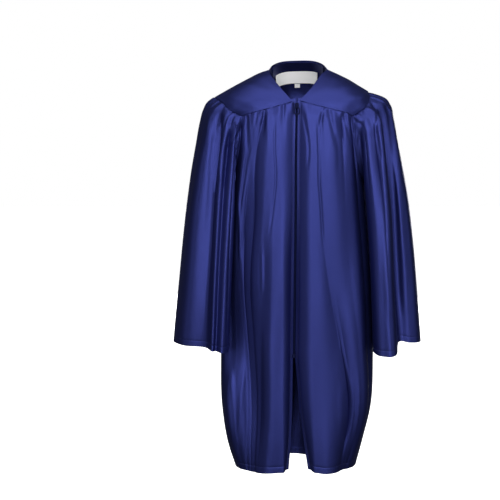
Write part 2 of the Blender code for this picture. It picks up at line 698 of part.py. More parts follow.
def box(centre, size):
    """Corners and triangles of a block."""
    signs = np.array([(x, y, z) for x in (-1, 1) for y in (-1, 1) for z in (-1, 1)])
    vertices = np.array(centre) + signs * np.array(size) / 2
    quads = [(0, 1, 3, 2), (4, 6, 7, 5), (0, 4, 5, 1), (2, 3, 7, 6), (0, 2, 6, 4), (1, 5, 7, 3)]
    faces = []
    for a, b, c, d in quads:
        faces += [(a, b, c), (a, c, d)]
    return vertices, faces


def extruded(outline, hole, low, high, axis):
    """A plate with a hole of as many corners, both lists going round, between two depths.

    The outlines lie across the other two axes, in the order of the axes."""
    count = len(outline)
    others = [i for i in range(3) if i != axis]
    vertices = []
    for loop in (outline, hole):
        for depth in (low, high):
            for point in loop:
                corner = [0.0, 0.0, 0.0]
                corner[axis] = depth
                corner[others[0]], corner[others[1]] = point
                vertices.append(corner)
    faces = []
    for i in range(count):
        j = (i + 1) % count
        outer_low, outer_high, hole_low, hole_high = 0, count, 2 * count, 3 * count
        for a, b in (
            (outer_low, outer_high),
            (outer_high, hole_high),
            (hole_high, hole_low),
            (hole_low, outer_low),
        ):
            faces += [(a + i, a + j, b + j), (a + i, b + j, b + i)]
    return np.array(vertices), faces


def front_edge_y(height):
    """How far forward the fronts' edges lie beside the zip."""
    _, depth = zip_at(height)
    _, along, _ = girth("left", "front", height)
    return -(along + depth)


def make_zip(material):
    """Tape behind the fronts' edges, with the closed coil standing between them."""
    half_tape, half_coil = TAPE_WIDTH / 2, COIL_WIDTH / 2
    tape_front = WALL + SEAM
    profile = (
        (-half_tape, tape_front + TAPE_THICKNESS),
        (-half_tape, tape_front),
        (-half_coil, tape_front),
        (-half_coil, -COIL_PROUD),
        (half_coil, -COIL_PROUD),
        (half_coil, tape_front),
        (half_tape, tape_front),
        (half_tape, tape_front + TAPE_THICKNESS),
    )
    rings = []
    for height in np.linspace(ZIP_TOP, ZIP_END, ZIP_RINGS):
        x, _ = zip_at(height)
        y = front_edge_y(height)
        rings.append([(x + across, y + back, height) for across, back in profile])
    rings = np.array(rings)
    count = len(profile)
    faces = []
    for row in range(len(rings) - 1):
        for i in range(count):
            a, b = row * count + i, row * count + (i + 1) % count
            faces += [(a, b, b + count), (a, b + count, a + count)]
    last = (len(rings) - 1) * count
    for base, flip in ((0, True), (last, False)):
        for corners in ((0, 1, 2), (0, 2, 5), (2, 3, 4), (2, 4, 5), (0, 5, 7), (5, 6, 7)):
            face = tuple(base + corner for corner in corners)
            faces.append(face[::-1] if flip else face)
    return make_object("zip", rings.reshape(-1, 3), faces, material, smooth_shaded=False)


def slider_front():
    return front_edge_y(SLIDER["z"]) - SLIDER["gap"] - SLIDER["plate"]


def pull_axis():
    """The centre of the bar that the pull turns on, under the slider's bridge."""
    x, _ = zip_at(SLIDER["z"])
    return np.array([x, slider_front() - BRIDGE["inside"] / 2, SLIDER["z"]])


def make_slider(material):
    """A plate with a bridge standing on it, a closed loop seen from the side."""
    x, _, z = pull_axis()
    front = slider_front()
    half = BRIDGE["height"] / 2
    thick = BRIDGE["thick"]
    reach = front - BRIDGE["inside"]
    plate = SLIDER["height"] / 2
    back = front + SLIDER["plate"]
    outline = (
        (back, z - plate),
        (back, z + plate),
        (front, z + plate),
        (reach - thick, z + half - thick),
        (reach - thick, z - half + thick),
        (front, z - plate),
    )
    hole = (
        (front, z - half + thick),
        (front, z + half - thick),
        (front - BRIDGE["lift"], z + half - thick),
        (reach, z + half - 2 * thick),
        (reach, z - half + 2 * thick),
        (front - BRIDGE["lift"], z - half + thick),
    )
    width = BRIDGE["width"] / 2
    bridge = make_object("bridge", *extruded(outline, hole, x - width, x + width, 0), material)
    width_and_height = (SLIDER["width"], SLIDER["plate"], SLIDER["height"])
    plate_centre = (x, front + SLIDER["plate"] / 2, z)
    slider = make_object("zip_slider", *box(plate_centre, width_and_height), material, False)
    join = slider.modifiers.new("bridge", "BOOLEAN")
    join.operation = "UNION"
    join.object = bridge
    bridge.hide_render = True
    bridge.display_type = "WIRE"
    return slider


def make_pull(material):
    """A flat loop that hangs from the bridge by its top bar."""
    x, y, z = pull_axis()
    half_bar = PULL["bar"] / 2
    half_width = PULL["width"] / 2
    top, bottom = z + half_bar, z + half_bar - PULL["length"]
    inner = half_width - PULL["side"]
    play = PULL_SHAPE["play"]
    neck = BRIDGE["width"] / 2 + play
    shoulder_height = top - PULL_SHAPE["shoulder"]
    corner, slot_corner = PULL_SHAPE["corner"], PULL_SHAPE["slot corner"]
    end = bottom + PULL["end"]
    outline = (
        (x - neck - play, top),
        (x + neck + play, top),
        (x + half_width, shoulder_height),
        (x + half_width, bottom + corner),
        (x + half_width - corner, bottom),
        (x - half_width + corner, bottom),
        (x - half_width, bottom + corner),
        (x - half_width, shoulder_height),
    )
    slot = (
        (x - neck, top - PULL["bar"]),
        (x + neck, top - PULL["bar"]),
        (x + inner, shoulder_height),
        (x + inner, end + slot_corner),
        (x + inner - slot_corner, end),
        (x - inner + slot_corner, end),
        (x - inner, end + slot_corner),
        (x - inner, shoulder_height),
    )
    vertices, faces = extruded(outline, slot, y - half_bar, y + half_bar, 1)
    pull = make_object("zip_pull", vertices - np.array([x, y, z]), faces, material, False)
    pull.location = np.array([x, y, z]) * MM
    return pull


def make_stop(material):
    """The block that ends the zip."""
    x, _ = zip_at(ZIP_END)
    y = front_edge_y(ZIP_END) - COIL_PROUD - SEAM - STOP["depth"] / 2
    centre = (x, y, ZIP_END + STOP["above end"] + STOP["height"] / 2)
    block = box(centre, (STOP["width"], STOP["depth"], STOP["height"]))
    stop = make_object("zip_stop", *block, material, smooth_shaded=False)
    rounding = stop.modifiers.new("rounding", "BEVEL")
    rounding.width = STOP["rounding"] * MM
    rounding.segments = 1
    return stop


def make_labels(back, centre, materials):
    """The band round the inside of the neck, the label below it and the size label below that."""
    inside = back - normals(back, centre, False) * (WALL + LABEL_GAP)
    for name, x_range, rows, columns, kind in (
        ("neck_band", NECK_BAND_X, NECK_BAND_ROWS, NECK_BAND_COLUMNS, "cloth"),
        ("neck_label", LABEL_X, LABEL_ROWS, LABEL_COLUMNS, "label"),
        ("size_label", SIZE_LABEL_X, SIZE_LABEL_ROWS, SIZE_LABEL_COLUMNS, "label"),
    ):
        part = window(inside, x_range, np.linspace(*rows, LABEL_LINES), columns)
        cloth(name, part, centre, materials[kind], thickness=LABEL_WALL)


def main():
    for obj in list(bpy.data.objects):
        bpy.data.objects.remove(obj)
    materials = {kind: make_material(kind) for kind in COLOURS}
    fabric = materials["cloth"]
    below = np.array(YOKE_CENTRE)
    for side in ("right", "left"):
        grid = front_panel(side, BODY_ROWS, COLUMNS_PER_FOLD)
        cloth("front_" + side, grid, grid * (0, 0, 1), fabric)
        grid = sleeve(side, SLEEVE_ROWS, SLEEVE_COLUMNS_PER_FOLD)
        middle = grid.mean(axis=1, keepdims=True)
        cloth("sleeve_" + side, grid, middle, fabric, closed=True)
        grid = front_yoke(side, YOKE_ROWS, FRONT_YOKE_COLUMNS)
        cloth("yoke_front_" + side, grid, below, fabric)
    grid = back_panel(BODY_ROWS - 1, COLUMNS_PER_FOLD)
    cloth("back", grid, grid * (0, 0, 1), fabric)
    grid = back_yoke(YOKE_ROWS, BACK_YOKE_COLUMNS)
    cloth("yoke_back", grid, below, fabric)
    make_labels(grid, below, materials)
    make_zip(materials["tape"])
    make_slider(materials["tape"])
    make_pull(materials["tape"])
    make_stop(materials["tape"])


main()
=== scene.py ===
"""The looks of a child's graduation gown of navy satin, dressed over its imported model.

Sizes are in millimetres, as in the model's source, and make_object turns them into metres.
Right and left are the wearer's. Each cloth piece is a thin shell on the form of its solid: the
same girths and folds, with finer folds, gathers, seams and turned hems laid on them.
"""

import bpy
import numpy as np
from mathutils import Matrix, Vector


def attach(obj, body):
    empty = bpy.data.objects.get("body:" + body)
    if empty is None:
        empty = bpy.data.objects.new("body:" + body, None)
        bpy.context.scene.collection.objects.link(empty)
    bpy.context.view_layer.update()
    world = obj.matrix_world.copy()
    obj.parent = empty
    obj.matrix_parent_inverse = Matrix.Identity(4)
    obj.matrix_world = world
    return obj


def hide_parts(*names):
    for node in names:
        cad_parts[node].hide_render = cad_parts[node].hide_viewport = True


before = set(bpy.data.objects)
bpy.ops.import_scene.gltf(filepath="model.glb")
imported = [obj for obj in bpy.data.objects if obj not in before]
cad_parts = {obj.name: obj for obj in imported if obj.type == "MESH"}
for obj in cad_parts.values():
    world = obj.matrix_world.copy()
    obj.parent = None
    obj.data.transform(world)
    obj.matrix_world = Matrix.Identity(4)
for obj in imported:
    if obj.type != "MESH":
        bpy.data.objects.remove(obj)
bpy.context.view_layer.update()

MM = 0.001

WALL = 1.6
SEAM = 0.3

# An edge is drawn in by no more than this share of the cell beside it
TRIM_LIMIT = 0.45

# Heights
YOKE_FRONT_CENTRE = -27.5
YOKE_BACK_SEAM = -66.0
YOKE_FRONT_CORNER = -57.0
UNDERARM = -185.0
CORNER_RUN = 14.0
ZIP_TOP = -33.0
ZIP_END = -500.0
HEM = -711.0

# The share of the girth from the centre to the side at which the armhole meets the yoke
ARM_CORNER = 0.63

# Clearance of the sleeve's inner side from the body, and how fast it opens below the seam
SLEEVE_CLEARANCE = 8.5
SLEEVE_OPENING = 0.6
SLEEVE_SEAM_LIFT = 1.4

# The girth of the body: half its width on the wearer's right and left, how far it comes forward
# and back, and how square it is, where 2 is an ellipse
BODY_COLUMNS = ("height", "right", "left", "front", "back", "square")
BODY_GIRTHS = (
    (60, 112, 112, 66, 66, 4.5),
    (-30, 112, 112, 67, 68, 4.5),
    (-60, 113, 113, 69, 70, 4.4),
    (-120, 114, 114, 72, 72, 3.8),
    (-200, 121, 121, 74, 73, 3.2),
    (-350, 132, 132, 75, 74, 2.8),
    (-500, 139, 140, 76, 74, 2.7),
    (-600, 138, 137, 77, 73, 2.9),
    (-660, 129, 123, 77, 72, 3.2),
    (-711, 114, 109, 76, 71, 3.6),
)

# The heights that the columns of the fold tables stand for. The first is the yoke's seam.
LEVELS = (-40, -110, -215, -350, -465, -580, -711)

# How far the zip's line lies from the middle, and how deep in the centre fold, at each height
ZIP_COLUMNS = ("height", "x", "depth")
ZIP_LINE = (
    (-20, -1.0, -2.5),
    (-60, -1.6, -3.5),
    (-118, -2.7, -6.0),
    (-215, -3.2, -9.0),
    (-350, -4.6, -14.0),
    (-500, -6.4, -18.0),
)
ZIP_HALF_GAP = 2.0

# The welt beside the zip: how wide it is, and how far its outer side stands out at each level
WELT = 5.5
WELT_DEPTHS = (0.5, 1.5, 2.5, 4.5, 4.5, 4.0, 3.0)

# Below the zip the fronts hang apart: how far round each edge lies, and how deep in the fold
SLIT_COLUMNS = ("height", "right", "left", "depth")
SLIT_EDGES = (
    (-500, 8.4, -4.4, -18.0),
    (-580, 9.6, 2.6, -17.5),
    (-630, 11.2, 8.2, -16.5),
    (-675, 13.4, 14.0, -15.0),
    (-711, 16.2, 19.2, -13.0),
)

# Folds fade out at the yoke's seam within this share of a panel's length
SEAM_SHARE = 0.03

# How far the hem dips below its line: at the slit's edge and beside it it lifts. The dips grow
# with this power of the share of the length.
SLIT_DIPS = (-4, -3)
DIP_POWER = 6

# Folds of the fronts, from the zip outwards: how far each lies round the girth from the middle
# at each level, how far it stands out there, and how far the hem dips at it
FOLD_COLUMNS = ("name", "places", "depths", "dip")
RIGHT_FRONT_FOLDS = (
    ("plateau edge", (22, 32, 30, 27, 27, 28, 26), (2, 3, 1, 3, -1, -2.5, -4), 1),
    ("plateau side", (38, 44, 44, 46, 48, 49, 58), (3, 3, 1, 3, 2, 0, -1), 2),
    ("second ridge", (49, 53, 61, 66, 66, 67, 75), (3.5, 2.5, 0, -2, -6.5, -9, -6), 3),
    ("great valley", (61, 76, 81, 90, 83, 78, 84), (-1, -4, -7, -10, -13, -15, -11), 3),
    ("valley side", (71, 85, 100, 105, 97, 90, 94), (1, -2, -7, -11, -15, -16, -13), 3),
    ("outer ridge", (80, 94, 107, 114, 105, 100, 104), (1, -0.5, -1.5, -8.5, -13.5, -13, -11.5), 2),
    ("outer crease", (89, 101, 114, 124, 122, 120, 113), (1, 2, 1, -6, -11, -3.5, -7), 1),
    ("corner ridge", (95, 108, 122, 136, 136, 133, 122), (1, 1.5, 1, -3, -7.5, 4.5, -2), 0),
    ("side ridge", (101, 115, 144, 158, 161, 156, 145), (0, 0, 0, 3, 4, 4, 2), 0),
)
LEFT_FRONT_FOLDS = (
    ("plateau edge", (20, 24, 23, 25, 27, 30, 32), (3, 4, 2, 0.5, -1.5, -3, -4), 1),
    ("plateau side", (30, 31, 31, 35, 39, 45, 53), (3, 3.5, 1.5, 0, -1.5, -3, -2), 3),
    ("slanting valley", (44, 41, 42, 57, 80, 99, 86), (1, 2.5, 0.5, -3.5, -8, -11, -13), 2),
    ("second ridge", (63, 58, 58, 68, 89, 107, 97), (3, 4.5, 2, -2, -4, -2, -15), 1),
    ("mild crease", (79, 83, 88, 98, 111, 116, 108), (-4, -1, 1.5, 1.5, 3, 3, -14), 1),
    ("broad ridge", (90, 97, 102, 111, 120, 126, 119), (1, 1, 2, 3.5, 4.5, 4.5, -9), 0),
    ("side crease", (97, 112, 121, 131, 138, 147, 137), (-2, -3, -2, -1, -1, -3, -4), 0),
    ("side ridge", (101, 117, 141, 160, 166, 166, 151), (0, 0, 0, 2, 1, -1, 0), 0),
)

# Folds of the back, from the wearer's right side to the left, placed from the middle of the back
BACK_FOLDS = (
    ("right side crease", (-98, -112, -146, -158, -163, -158, -142), (-1, -2, -3, -3, -3, -3, -2), 0),
    ("right side ridge", (-90, -103, -121, -133, -138, -135, -121), (0, 0, 3, 4, 5, 4, 2), 1),
    ("right outer valley", (-79, -89, -101, -110, -113, -111, -100), (-4, -8, -9, -10, -9, -8, -4), 2),
    ("right outer ridge", (-66, -74, -81, -88, -90, -89, -81), (2, 4, 5, 6, 6, 6, 3), 1),
    ("right inner valley", (-52, -57, -60, -64, -65, -66, -62), (-4, -9, -10, -9, -9, -10, -6), 2),
    ("right inner ridge", (-38, -40, -41, -42, -41, -44, -42), (1, 4, 5, 6, 6, 6, 3), 1),
    ("right centre crease", (-23, -22, -22, -21, -20, -21, -23), (-3, -4, -4, -4, -5, -4, -2), 0),
    ("centre ridge", (-5, -3, -2, 0, 2, 3, 0), (1, 4, 5, 5, 5, 5, 3), 1),
    ("left centre crease", (14, 17, 18, 20, 22, 24, 20), (-4, -7, -9, -9, -8, -7, -4), 2),
    ("left inner ridge", (31, 35, 38, 41, 44, 46, 41), (1, 4, 5, 5, 6, 6, 4), 1),
    ("left inner valley", (47, 53, 58, 62, 66, 68, 61), (-4, -5, -4, -5, -7, -9, -5), 2),
    ("left outer ridge", (62, 70, 77, 84, 89, 90, 80), (1, 4, 5, 6, 6, 5, 3), 1),
    ("left outer valley", (77, 87, 98, 107, 113, 112, 99), (-4, -9, -10, -9, -9, -8, -4), 2),
    ("left side ridge", (90, 102, 119, 132, 138, 135, 119), (0, 0, 3, 4, 4, 4, 2), 1),
    ("left side crease", (98, 112, 145, 158, 163, 158, 138), (-1, -2, -3, -3, -3, -3, -2), 0),
)

# Folds of a sleeve, round it from the tip of the shoulder by the front, the underarm and the
# back: the share of the armhole at which a fold starts, where it ends at the cuff, and how far
# it stands out near its head, above the elbow and below it. Some of these shallow folds are up to
# 2 softer than in the solid.
SLEEVE_COLUMNS = ("start", "x", "y", "z", "head", "upper", "lower")
RIGHT_SLEEVE_FOLDS = (
    (0.000, -231, 6, -478, 0, 0, 0),
    (0.035, -225, -21, -478, 1, 0, 0),
    (0.070, -206, -44, -479, 3, 3, 2),
    (0.105, -171, -54, -480, -6, -8, -6),
    (0.135, -157, -73, -484, 2, 1, 0),
    (0.160, -149, -66, -485, -2, 0, 1),
    (0.190, -139, -74, -487, 2, 3, 2),
    (0.215, -131, -69, -487, -2, 0, 0),
    (0.250, -126, -58, -486, 1, 3, 2),
    (0.330, -132, -38, -486, 0, -1, -1),
    (0.420, -144, -15, -487, 0, 1, 1),
    (0.500, -149, 3, -487, 0, 0, 0),
    (0.580, -145, 22, -487, 0, 1, 1),
    (0.670, -136, 41, -486, 0, -1, -1),
    (0.750, -131, 58, -485, 1, 3, 2),
    (0.790, -145, 52, -484, -4, -6, -4),
    (0.830, -158, 70, -483, 3, 3, 2),
    (0.870, -176, 54, -481, -5, -6, -5),
    (0.905, -195, 61, -480, 3, 3, 2),
    (0.940, -210, 42, -479, -4, -4, -3),
    (0.970, -225, 30, -478, 2, 2, 1),
)
LEFT_SLEEVE_FOLDS = (
    (0.000, 230, 6, -478, 0, 0, 0),
    (0.035, 224, -16, -478, 2, 1, 0),
    (0.070, 207, -25, -477, 1, -1, -1),
    (0.100, 188, -27, -475, -7, -8, -6),
    (0.125, 182, -64, -490, 3, 3, 1),
    (0.145, 172, -75, -494, -2, -2, -0.5),
    (0.175, 160, -74, -494, 1, 1.5, 1),
    (0.205, 148, -69, -493, -1, 1, 1),
    (0.240, 140, -54, -490, 1, 2, 1),
    (0.320, 139, -37, -488, 0, -1, -1),
    (0.410, 146, -16, -487, 0, 1, 1),
    (0.500, 150, 3, -487, 0, 0, 0),
    (0.590, 147, 22, -487, 0, 1, 1),
    (0.670, 138, 42, -486, 0, -1, -1),
    (0.750, 133, 59, -485, 1, 3, 2),
    (0.790, 150, 53, -484, -4, -6, -4),
    (0.830, 163, 70, -483, 3, 3, 2),
    (0.870, 180, 55, -481, -5, -6, -5),
    (0.905, 197, 61, -480, 3, 3, 2),
    (0.940, 209, 42, -479, -4, -4, -3),
    (0.970, 223, 29, -478, 2, 2, 1),
)
SLEEVE_DEPTH_LEVELS = (0.0, 0.08, 0.35, 0.68, 1.0)

# How far across from the armhole to the cuff a sleeve has come, at each share of its length
SPREAD_COLUMNS = ("length", "right", "left")
SLEEVE_SPREAD = (
    (0.00, 0.00, 0.00),
    (0.02, 0.16, 0.27),
    (0.05, 0.26, 0.40),
    (0.10, 0.34, 0.455),
    (0.19, 0.44, 0.53),
    (0.28, 0.54, 0.62),
    (0.42, 0.66, 0.74),
    (0.60, 0.78, 0.84),
    (0.79, 0.89, 0.92),
    (1.00, 1.00, 1.00),
)

# Edges of the yoke, as (x, y, z): the neckline from the zip to the shoulder, the shoulder from
# the neck to its tip, and the arm edge from the tip towards the corner
RIGHT_YOKE = {
    "neck": ((-28, -51, -9), (-38, -38, 2), (-48, -20, 15), (-52, 2, 23.5)),
    "shoulder": ((-70, 2, 17.5), (-88, 2, 8.5), (-120, 3, -8.5), (-151, 3, -26)),
    "front arm": ((-136, -26, -34), (-121, -47, -47)),
    "back arm": ((-138, 28, -35), (-122, 49, -49)),
    "first": 9.0,
}
LEFT_YOKE = {
    "neck": ((24, -47, -7.5), (36.5, -28, 8), (43, -17, 16), (55, 2, 24)),
    "shoulder": ((78, 2, 13.5), (95, 2, 5), (108, 3, -3), (129, 3, -15.5)),
    "front arm": ((130, -26, -28), (123, -46, -41)),
    "back arm": ((132, 28, -30), (124, 49, -46)),
    "first": 4.0,
}
BACK_NECK = ((-45, 24, 31.5), (-32, 38, 36.5), (0, 46, 39), (32, 38, 38), (46, 22, 33))
YOKE_FRONT_SLOPES = {"right": 0.278, "left": 0.255}

# How far the cloth of the yoke rounds out between its edges, which way, and how fast it rises
FRONT_YOKE_BULGE = 9.0
BACK_YOKE_BULGE = 8.0
FRONT_YOKE_OUTWARD = (0, -1, 0.8)
BACK_YOKE_OUTWARD = (0, 1, 0.8)
BULGE_POWER = 0.8

# Labels inside the back of the neck
LABEL_GAP = 0.45
NECK_BAND_X = (-45.5, 48.0)
NECK_BAND_ROWS = (0.985, 0.765)
LABEL_X = (-40.0, 37.0)
LABEL_ROWS = (0.76, 0.52)
SIZE_LABEL_X = (-5.5, 4.5)
SIZE_LABEL_ROWS = (0.51, 0.44)

# How far the zip's coil stands out from the fronts' edges
COIL_PROUD = 0.3

# Shells: how fine their grids are, how thick the cloth is, and the depth of its turned edges
BODY_ROWS = 140
SLEEVE_ROWS = 130
FRONT_STEPS = 12
BACK_STEPS = 12
SLEEVE_STEPS = 8
YOKE_ROWS = 56
YOKE_COLUMNS = 60
LABEL_GRID = (16, 90)
SHELL = 0.9
HEM_EXTRA = 0.6
HEM_TURN = 12.0
CUFF_TURN = 11.0
SLEEVE_LENGTH = 440.0
YOKE_CENTRE = (0.0, 0.0, -200.0)
ROUTE_SAMPLES = 400
ARM_EDGE_POINTS = 40
ARMHOLE_POINTS = 60

# Rows besides the even ones, as distances from the seam, from the hem and from its stitches
NEAR_SEAM = (0.5, 1.0, 1.6, 2.4, 3.4, 4.6)
NEAR_HEM = 0.6
NEAR_HEM_STITCHES = (-1.6, -0.8, 0, 0.8, 1.6)
ROW_POWER = 1.15

# The smallest width or length that a piece of cloth is taken to have, in metres
SMALLEST_CUT = 0.01

# How far a piece's seam allowance reaches under its neighbour, and how deep it lies there
ALLOWANCE = 4.0
ALLOWANCE_SINK = 2.2
SLEEVE_SINK = 1.5
SHOULDER_RISE = 0.5

# Valleys are this much sharper and ridges this much rounder than a straight slope, once they
# stand this far from the line between their neighbours
VALLEY_SHARPNESS = 0.95
FOLD_TURN = 1.5

# Finer form laid on the folds. A sleeve is gathered round its head, to a share of the armhole.
# A gather's width and height and the step to the next are shares of these sizes, drawn between
# two limits, and heights below 0 are troughs. It starts at the seam and fades with its drop.
GATHER_SPACING = 11.0
GATHER_RISE = 2.6
GATHER_LENGTH = 34.0
GATHER_WIDTHS = (0.22, 0.42)
GATHER_LEANS = (-0.12, 0.12)
GATHER_REACHES = (0.35, 1.5)
GATHER_HEIGHTS = (-1.5, 0.9)
GATHER_STEPS = (0.6, 1.6)
GATHER_START = (3.0, 0.35)
GATHER_FALL = 1.4
CAP_SHARE = 0.22
CAP_FADE = 0.07
RIPPLE_RISE = 0.35
RIPPLE_ACROSS = 50.0
RIPPLE_DOWN = 260.0
RIPPLE_WAVES = 14
RIPPLE_START = 30.0
ACROSS_SHARES = (0.6, 2.2)
DOWN_SHARES = (0.7, 2.5)
UNDERARM_FADE = (0.75, 0.5)
TURN_EASE = 1.5
EDGE_FADE = 6.0
SEAM_DITCH = 1.0
SEAM_DITCH_WIDTH = 1.6
SEAM_RIDGE = 0.4
SEAM_RIDGE_AT = 1.5
YOKE_STITCH_AT = 4.0
YOKE_RIPPLE = (0.22, 40, 60)
YOKE_EDGE_FADE = 12.0
GROOVE_WIDTH = 0.8
STITCH_GROOVE = 0.25
INWARD_LIMIT = 3.4
OUTWARD_LIMIT = 3.4
RIM_SHARE = 0.35
RIM_WIDTH = 2.4
LEAN_STEP = 2.0
SEEDS = {
    "front_right": 11,
    "front_left": 23,
    "back": 31,
    "sleeve_right": 43,
    "sleeve_left": 57,
    "yoke_front_right": 61,
    "yoke_front_left": 67,
    "yoke_back": 71,
}

# Stitches, the zip's teeth, and the rounding of its metal
STITCH = {"pitch": 3.0, "length": 2.3, "width": 0.5, "height": 0.22}
WELT_STITCH_SHARE = 0.8
LABEL_STITCH_ROW = 2
TOOTH = {"pitch": 1.5, "reach": 1.9, "width": 1.0, "height": 0.45, "side": 0.45}
METAL_ROUNDING = 0.35
METAL_ROUNDING_STEPS = 3

# Creases seen from the front, each along points (x, z): how wide and how deep it is, below 0 for
# a trough and above for a ridge, and over what height it fades in and out
CREASE_COLUMNS = ("name", "path", "width", "depth", "top fade", "end fade")
RIGHT_FRONT_CREASES = (
    ("inner crease", ((-41, -60), (-41, -117), (-39, -167), (-44, -220), (-53, -287)), 2.2, -1.1, 30, 60),
    ("valley streak", ((-64, -290), (-64, -340), (-64, -390)), 2.5, 1.6, 30, 40),
    ("loop inner arm", ((-84, -108), (-92, -140), (-97, -175), (-106, -240)), 2.5, -1.3, 20, 40),
    ("long line", ((-106, -200), (-105, -260), (-105, -330)), 3, 1.4, 30, 40),
    ("outer wedge", ((-91, -52), (-91, -85), (-90, -125)), 4, -2.8, 6, 40),
    ("middle wedge", ((-57, -40), (-61, -72), (-66, -110)), 4.5, -2.8, 6, 40),
    ("short wedge", ((-74, -46), (-75, -62), (-77, -82)), 3, -1.8, 6, 20),
    ("swag outer arm", ((-124, -505), (-118, -580), (-112, -672)), 4, 1.1, 40, 20),
    ("swag inner arm", ((-96, -505), (-104, -580), (-112, -672)), 4, 0.9, 40, 20),
)
LEFT_FRONT_CREASES = (
    ("drag from the zip", ((9, -45), (20, -119), (17, -155)), 3, -1.4, 15, 25),
    ("slanting crease", ((36, -70), (38, -119), (38.5, -167), (42.5, -220), (47, -300)), 2.2, -1.2, 12, 50),
    ("inner wedge", ((49, -40), (44, -56), (38, -80)), 3, -2.2, 6, 25),
    ("long wedge", ((55, -41), (63, -75), (73, -120)), 4.5, -2.8, 6, 45),
    ("outer wedge", ((82, -48), (90, -80), (98, -115)), 4, -2.4, 6, 35),
    ("mild crease", ((70, -80), (73, -120), (74, -170)), 3.5, -1.0, 20, 30),
    ("outer fullness", ((121, -110), (125, -220), (128, -340), (130, -440)), 10, 3.0, 50, 80),
    ("low streak", ((80, -540), (80, -590), (81, -645)), 4, 1.2, 30, 30),
)
BACK_CREASES = (
    ("right seam crease", ((-60, -66), (-64, -120), (-62, -200)), 3.5, -2, 10, 60),
    ("middle crease", ((8, -66), (10, -150), (12, -260)), 3, -2, 10, 80),
    ("left seam crease", ((70, -66), (76, -130), (80, -230)), 3.5, -2, 10, 70),
    ("low right ridge", ((-52, -420), (-50, -540), (-46, -660)), 5, 2, 60, 60),
    ("low left valley", ((30, -380), (34, -500), (38, -640)), 5, -2.2, 60, 60),
    ("slanting crease", ((98, -260), (88, -380), (76, -480)), 4, -2, 50, 60),
)
RIGHT_SLEEVE_CREASES = (
    ("outer ridge", ((-151, -34), (-158, -49), (-162, -92), (-166, -130)), 4, 1.6, 6, 40),
    (
        "main valley",
        ((-128, -36), (-142, -59), (-150, -99), (-155, -131), (-158, -200), (-164, -300)),
        4,
        -2.4,
        6,
        90,
    ),
    ("short ridge", ((-121, -46), (-126, -62), (-132, -84)), 3, 1.6, 6, 14),
    ("branch", ((-132, -70), (-138, -82), (-146, -98)), 3, -1.6, 8, 10),
    ("inner ridge", ((-109, -55), (-121, -75), (-130, -98), (-138, -131), (-136, -200)), 4, 1.8, 6, 50),
    ("hook", ((-114, -54), (-118, -66), (-122, -78)), 2.5, -1.6, 5, 8),
    ("border", ((-96, -60), (-102, -78), (-109, -95), (-110, -122), (-113, -212)), 3, -1.6, 8, 60),
    ("drag line", ((-108, -92), (-118, -104), (-128, -120)), 3, -1.6, 8, 10),
)
LEFT_SLEEVE_CREASES = (
    ("inner valley", ((115, -44), (116, -61), (114, -79), (109, -118)), 3, -1.8, 6, 20),
    (
        "second valley",
        ((132, -30), (139, -42), (143, -57), (141, -79), (145, -104), (152, -150)),
        3,
        -2.2,
        6,
        30,
    ),
    ("band's inner side", ((148, -60), (152, -110), (158, -215), (164, -350), (172, -440)), 7, 2.4, 20, 60),
    (
        "band's outer side",
        ((163, -30), (168, -79), (173, -132), (177, -215), (183, -350), (190, -440)),
        7,
        -3.4,
        8,
        60,
    ),
    ("outer ridge", ((176, -90), (190, -240), (205, -400)), 6, 1.6, 30, 60),
)
RIGHT_SLEEVE_BACK_CREASES = (
    ("outer valley", ((-140, -40), (-150, -90), (-156, -170)), 4, -2, 8, 60),
    ("middle ridge", ((-122, -60), (-134, -110), (-140, -220)), 5, 1.8, 8, 90),
    ("low crease", ((-168, -260), (-176, -350), (-184, -440)), 5, -2, 50, 40),
)
LEFT_SLEEVE_BACK_CREASES = (
    ("outer valley", ((142, -44), (150, -100), (160, -190)), 4, -2, 8, 60),
    ("middle crease", ((124, -64), (130, -120), (134, -230)), 4, -2, 8, 80),
    ("low ridge", ((176, -240), (184, -340), (190, -430)), 6, 1.8, 50, 50),
)

# Floor, lamps as (name, place, aim, width, height, watts), and the light of the pale studio around
FLOOR = -0.9
FLOOR_SIZE = 12.0
FLOOR_GLOW = 1.0
AMBIENT = 0.06
LAMPS = (
    ("key", (0.15, -3.0, 0.25), (0, 0, -0.35), 2.8, 2.4, 92),
    ("top", (0.0, -0.7, 1.7), (0, 0, -0.05), 4.0, 2.2, 62),
    ("left side", (2.6, -1.6, 0.1), (0.1, 0, -0.3), 1.4, 2.2, 12),
    ("right side", (-2.8, -1.4, 0.1), (-0.1, 0, -0.3), 1.2, 2.2, 11),
    ("back", (0.3, 3.1, -0.42), (0, 0, -0.35), 2.8, 0.85, 46),
)

# Camera, at the place and angle of the photograph
SENSOR = 36.0
PHOTO_SIZE = 500
CAMERA_AT = Vector((0.0, -3.2, 0.13))
CAMERA_AIM = Vector((0.0, 0.0, -0.34))
METRES_A_PIXEL = 0.00185
AIM_PIXEL = (297.5, 267.5)


def make_camera():
    data = bpy.data.cameras.new("camera")
    camera = bpy.data.objects.new("camera", data)
    bpy.context.scene.collection.objects.link(camera)
    away = CAMERA_AIM - CAMERA_AT
    camera.location = CAMERA_AT
    camera.rotation_euler = away.to_track_quat("-Z", "Y").to_euler()
    data.sensor_width = SENSOR
    data.lens = away.length / METRES_A_PIXEL / PHOTO_SIZE * SENSOR
    data.shift_x = -(AIM_PIXEL[0] - PHOTO_SIZE / 2) / PHOTO_SIZE
    data.shift_y = (AIM_PIXEL[1] - PHOTO_SIZE / 2) / PHOTO_SIZE
    bpy.context.scene.camera = camera


